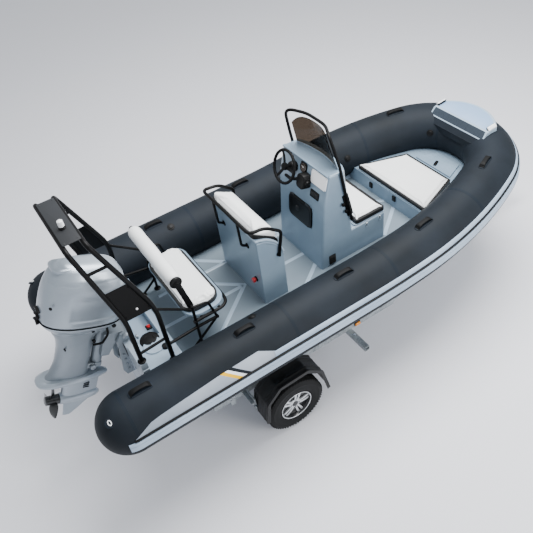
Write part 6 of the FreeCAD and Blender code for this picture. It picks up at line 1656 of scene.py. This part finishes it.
# ring radius, depth, height, then the corners of one block of the tread: two shoulders, two middle rows
TREAD = ((0.2795, -0.012, -0.0008,
          ((-0.0085, 0.0445), (0.0085, 0.0445), (0.0065, 0.0685), (-0.0065, 0.0685))),
         (0.2795, -0.012, -0.0008,
          ((-0.0085, -0.0685), (0.0085, -0.0685), (0.0065, -0.0445), (-0.0065, -0.0445))),
         (0.2796, -0.006, 0.0004,
          ((-0.0105, 0.0115), (0.0085, 0.0115), (0.0105, 0.0290), (-0.0085, 0.0290))),
         (0.2796, -0.006, 0.0004,
          ((-0.0085, -0.0290), (0.0105, -0.0290), (0.0085, -0.0115), (-0.0105, -0.0115))))
SPOKE_MIDDLE = 0.090


def spun(profile, centre, around, place_at=lambda point: point):
    """A closed profile of (y, radius) turned about an axle; place_at sets it where it belongs."""
    return loft([[place_at(centre + Vector((r * math.cos(a), y, r * math.sin(a)))) for y, r in profile]
                 for a in turns(around) + [0.0]], capped=False)


for side, word in ((-1, "right"), (1, "left")):
    hub = at(WHEEL_X, side * WHEEL_Y, WHEEL_Z)

    def on_wheel(p, side=side, hub=hub):
        """A place on this wheel; z of the point is outward along its axle."""
        return hub + Vector((p[0], side * p[2], -side * p[1]))

    def on_axle(p, on_wheel=on_wheel):
        """The same, for a profile that was turned about y."""
        return on_wheel((p[0], p[2], p[1]))

    parts = [spun(tyre_section, Vector(), 72, on_axle)]
    for radius, deep, high, corners in TREAD:
        block_of_tread = loft([[Vector((r, y, z)) for y, z in corners] for r in (deep, high)])
        parts.append(copies(block_of_tread, 60, on_wheel, radius=radius))
    piece("tyre_" + word + "_tread", parts, tyre_rubber, "wheel_" + word, ("tyre_" + word,))
    piece("rim_" + word + "_barrel", [spun(BARREL, Vector(), 72, on_axle)], rim_black,
          "wheel_" + word, ("rim_" + word,))
    bright = [spun(RIM_LIP, Vector(), 72, on_axle)]
    for lean in (1, -1):
        line = [Vector((0.030 + 0.112 * t - SPOKE_MIDDLE,
                        lean * (0.0085 + 0.0115 * t + 0.003 * math.sin(math.pi * t)),
                        0.0475 + 0.004 * math.sin(math.pi * t) - 0.002 * t))
                for t in [i / 6 for i in range(7)]]
        spoke = loft(swept(line, lambda t: rounded_section(0.0078 + 0.003 * t, 0.0085, 0.002, 2), up))
        bright.append(copies(spoke, 5, on_wheel, radius=SPOKE_MIDDLE))
    bright.append(turned([(0.040, 0.052), (0.050, 0.052), (0.053, 0.046), (0.053, 0.031), (0.050, 0.029),
                          (0.050, 0)], 40, hub, across * side))
    piece("rim_" + word + "_spokes", bright, rim_bright, "wheel_" + word)
    nut = turned([(0.046, 0.0075), (0.056, 0.0072), (0.058, 0.005), (0.058, 0)], 6, Vector(), up)
    piece("rim_" + word + "_cap", [turned([(0.048, 0.0285), (0.056, 0.027), (0.060, 0.021), (0.061, 0)], 36,
                                          hub, across * side), copies(nut, 4, on_wheel, radius=0.0395)],
          rim_black, "wheel_" + word)

GUARD_LINE = ((-0.308, 0.045), (-0.278, 0.275), (-0.150, 0.400), (0.135, 0.408), (0.275, 0.290),
              (0.335, 0.010))
guard_black = surfaced("black moulded polypropylene", "#090a0b", "#111214", 0.5, 1.6, 0.5,
                       Specular_IOR_Level=0.3)
# half of a guard's section, from the middle of its upper face over the ribs and lip to its inside
GUARD_HALF = ((0.046, 0.0015), (0.049, 0.0038), (0.057, 0.0038), (0.060, 0.0015), (0.0900, 0.0015),
              (0.0950, 0.0030), (0.0975, 0.0056), (0.1050, 0.0056), (0.1072, 0.003), (0.1072, -0.026),
              (0.1040, -0.026), (0.1035, -0.0005), (0.095, -0.0022))
guard_section = list(GUARD_HALF) + [(-a, b) for a, b in reversed(GUARD_HALF)]
piece("guard_shells", [loft(swept(bent([at(WHEEL_X + a, side * WHEEL_Y, WHEEL_Z + b) for a, b in GUARD_LINE],
                                       0.045, 5), guard_section, aft)) for side in (1, -1)],
      guard_black, replaced=("mudguards",))


# ---- Bunks, rollers, winch post and coupling ------------------------------------------------------
# Two carpeted timber bunks and black rubber keel rollers carry the hull. The winch stands on a
# post at the bow, and a telescopic jockey wheel beside the drawbar holds the trailer level.

carpet, tree, shader = new_material("charcoal bunk carpet", {"Roughness": 0.95, "Specular IOR Level": 0.15,
                                                             "Sheen Weight": 0.3})
place = add(tree, "ShaderNodeTexCoord")
pile = add(tree, "ShaderNodeTexNoise", {"Scale": 420.0, "Detail": 4.0}, {"Vector": place.outputs["Object"]})
tint = add(tree, "ShaderNodeValToRGB", links={"Fac": pile.outputs["Fac"]})
tint.color_ramp.elements[0].position = 0.35
tint.color_ramp.elements[0].color = linear("#17181a")
tint.color_ramp.elements[1].position = 0.7
tint.color_ramp.elements[1].color = linear("#34373b")
raised = add(tree, "ShaderNodeBump", {"Strength": 0.7, "Distance": 0.002}, {"Height": pile.outputs["Fac"]})
tree.links.new(tint.outputs["Color"], shader.inputs["Base Color"])
tree.links.new(raised.outputs["Normal"], shader.inputs["Normal"])
softened("bunks", 0.008, carpet, segments=3, sharp=35)
roller_black = surfaced("black roller rubber", "#16171a", "#212326", 0.6, 2.0, 0.3)
softened("keel_rollers", 0.003, roller_black, sharp=35)
for member, edge, body in (("winch_post", 0.004, "boat_and_trailer"),
                           ("coupling_head", 0.003, "boat_and_trailer"),
                           ("jockey_sleeve", 0.002, "boat_and_trailer"),
                           ("jockey_leg", 0.002, "jockey_leg"), ("jockey_fork", 0.002, "jockey_fork")):
    softened(member, edge, zinc, body, sharp=35)
jockey_profile = [(-0.024, 0.0105), (-0.024, 0.026), (-0.022, 0.030), (-0.008, 0.034), (-0.008, 0.060),
                  (-0.027, 0.066), (-0.0295, 0.072), (-0.0295, 0.083), (-0.0255, 0.093), (-0.016, 0.0985),
                  (-0.004, 0.1000), (0.004, 0.1000), (0.016, 0.0985), (0.0255, 0.093), (0.0295, 0.083),
                  (0.0295, 0.072), (0.027, 0.066), (0.008, 0.060), (0.008, 0.034), (0.022, 0.030),
                  (0.024, 0.026), (0.024, 0.0105)]
piece("jockey_tyre", [spun(jockey_profile, at(4.825, 0.095, 0.100), 64)], roller_black,
      "jockey_wheel", ("jockey_wheel",))
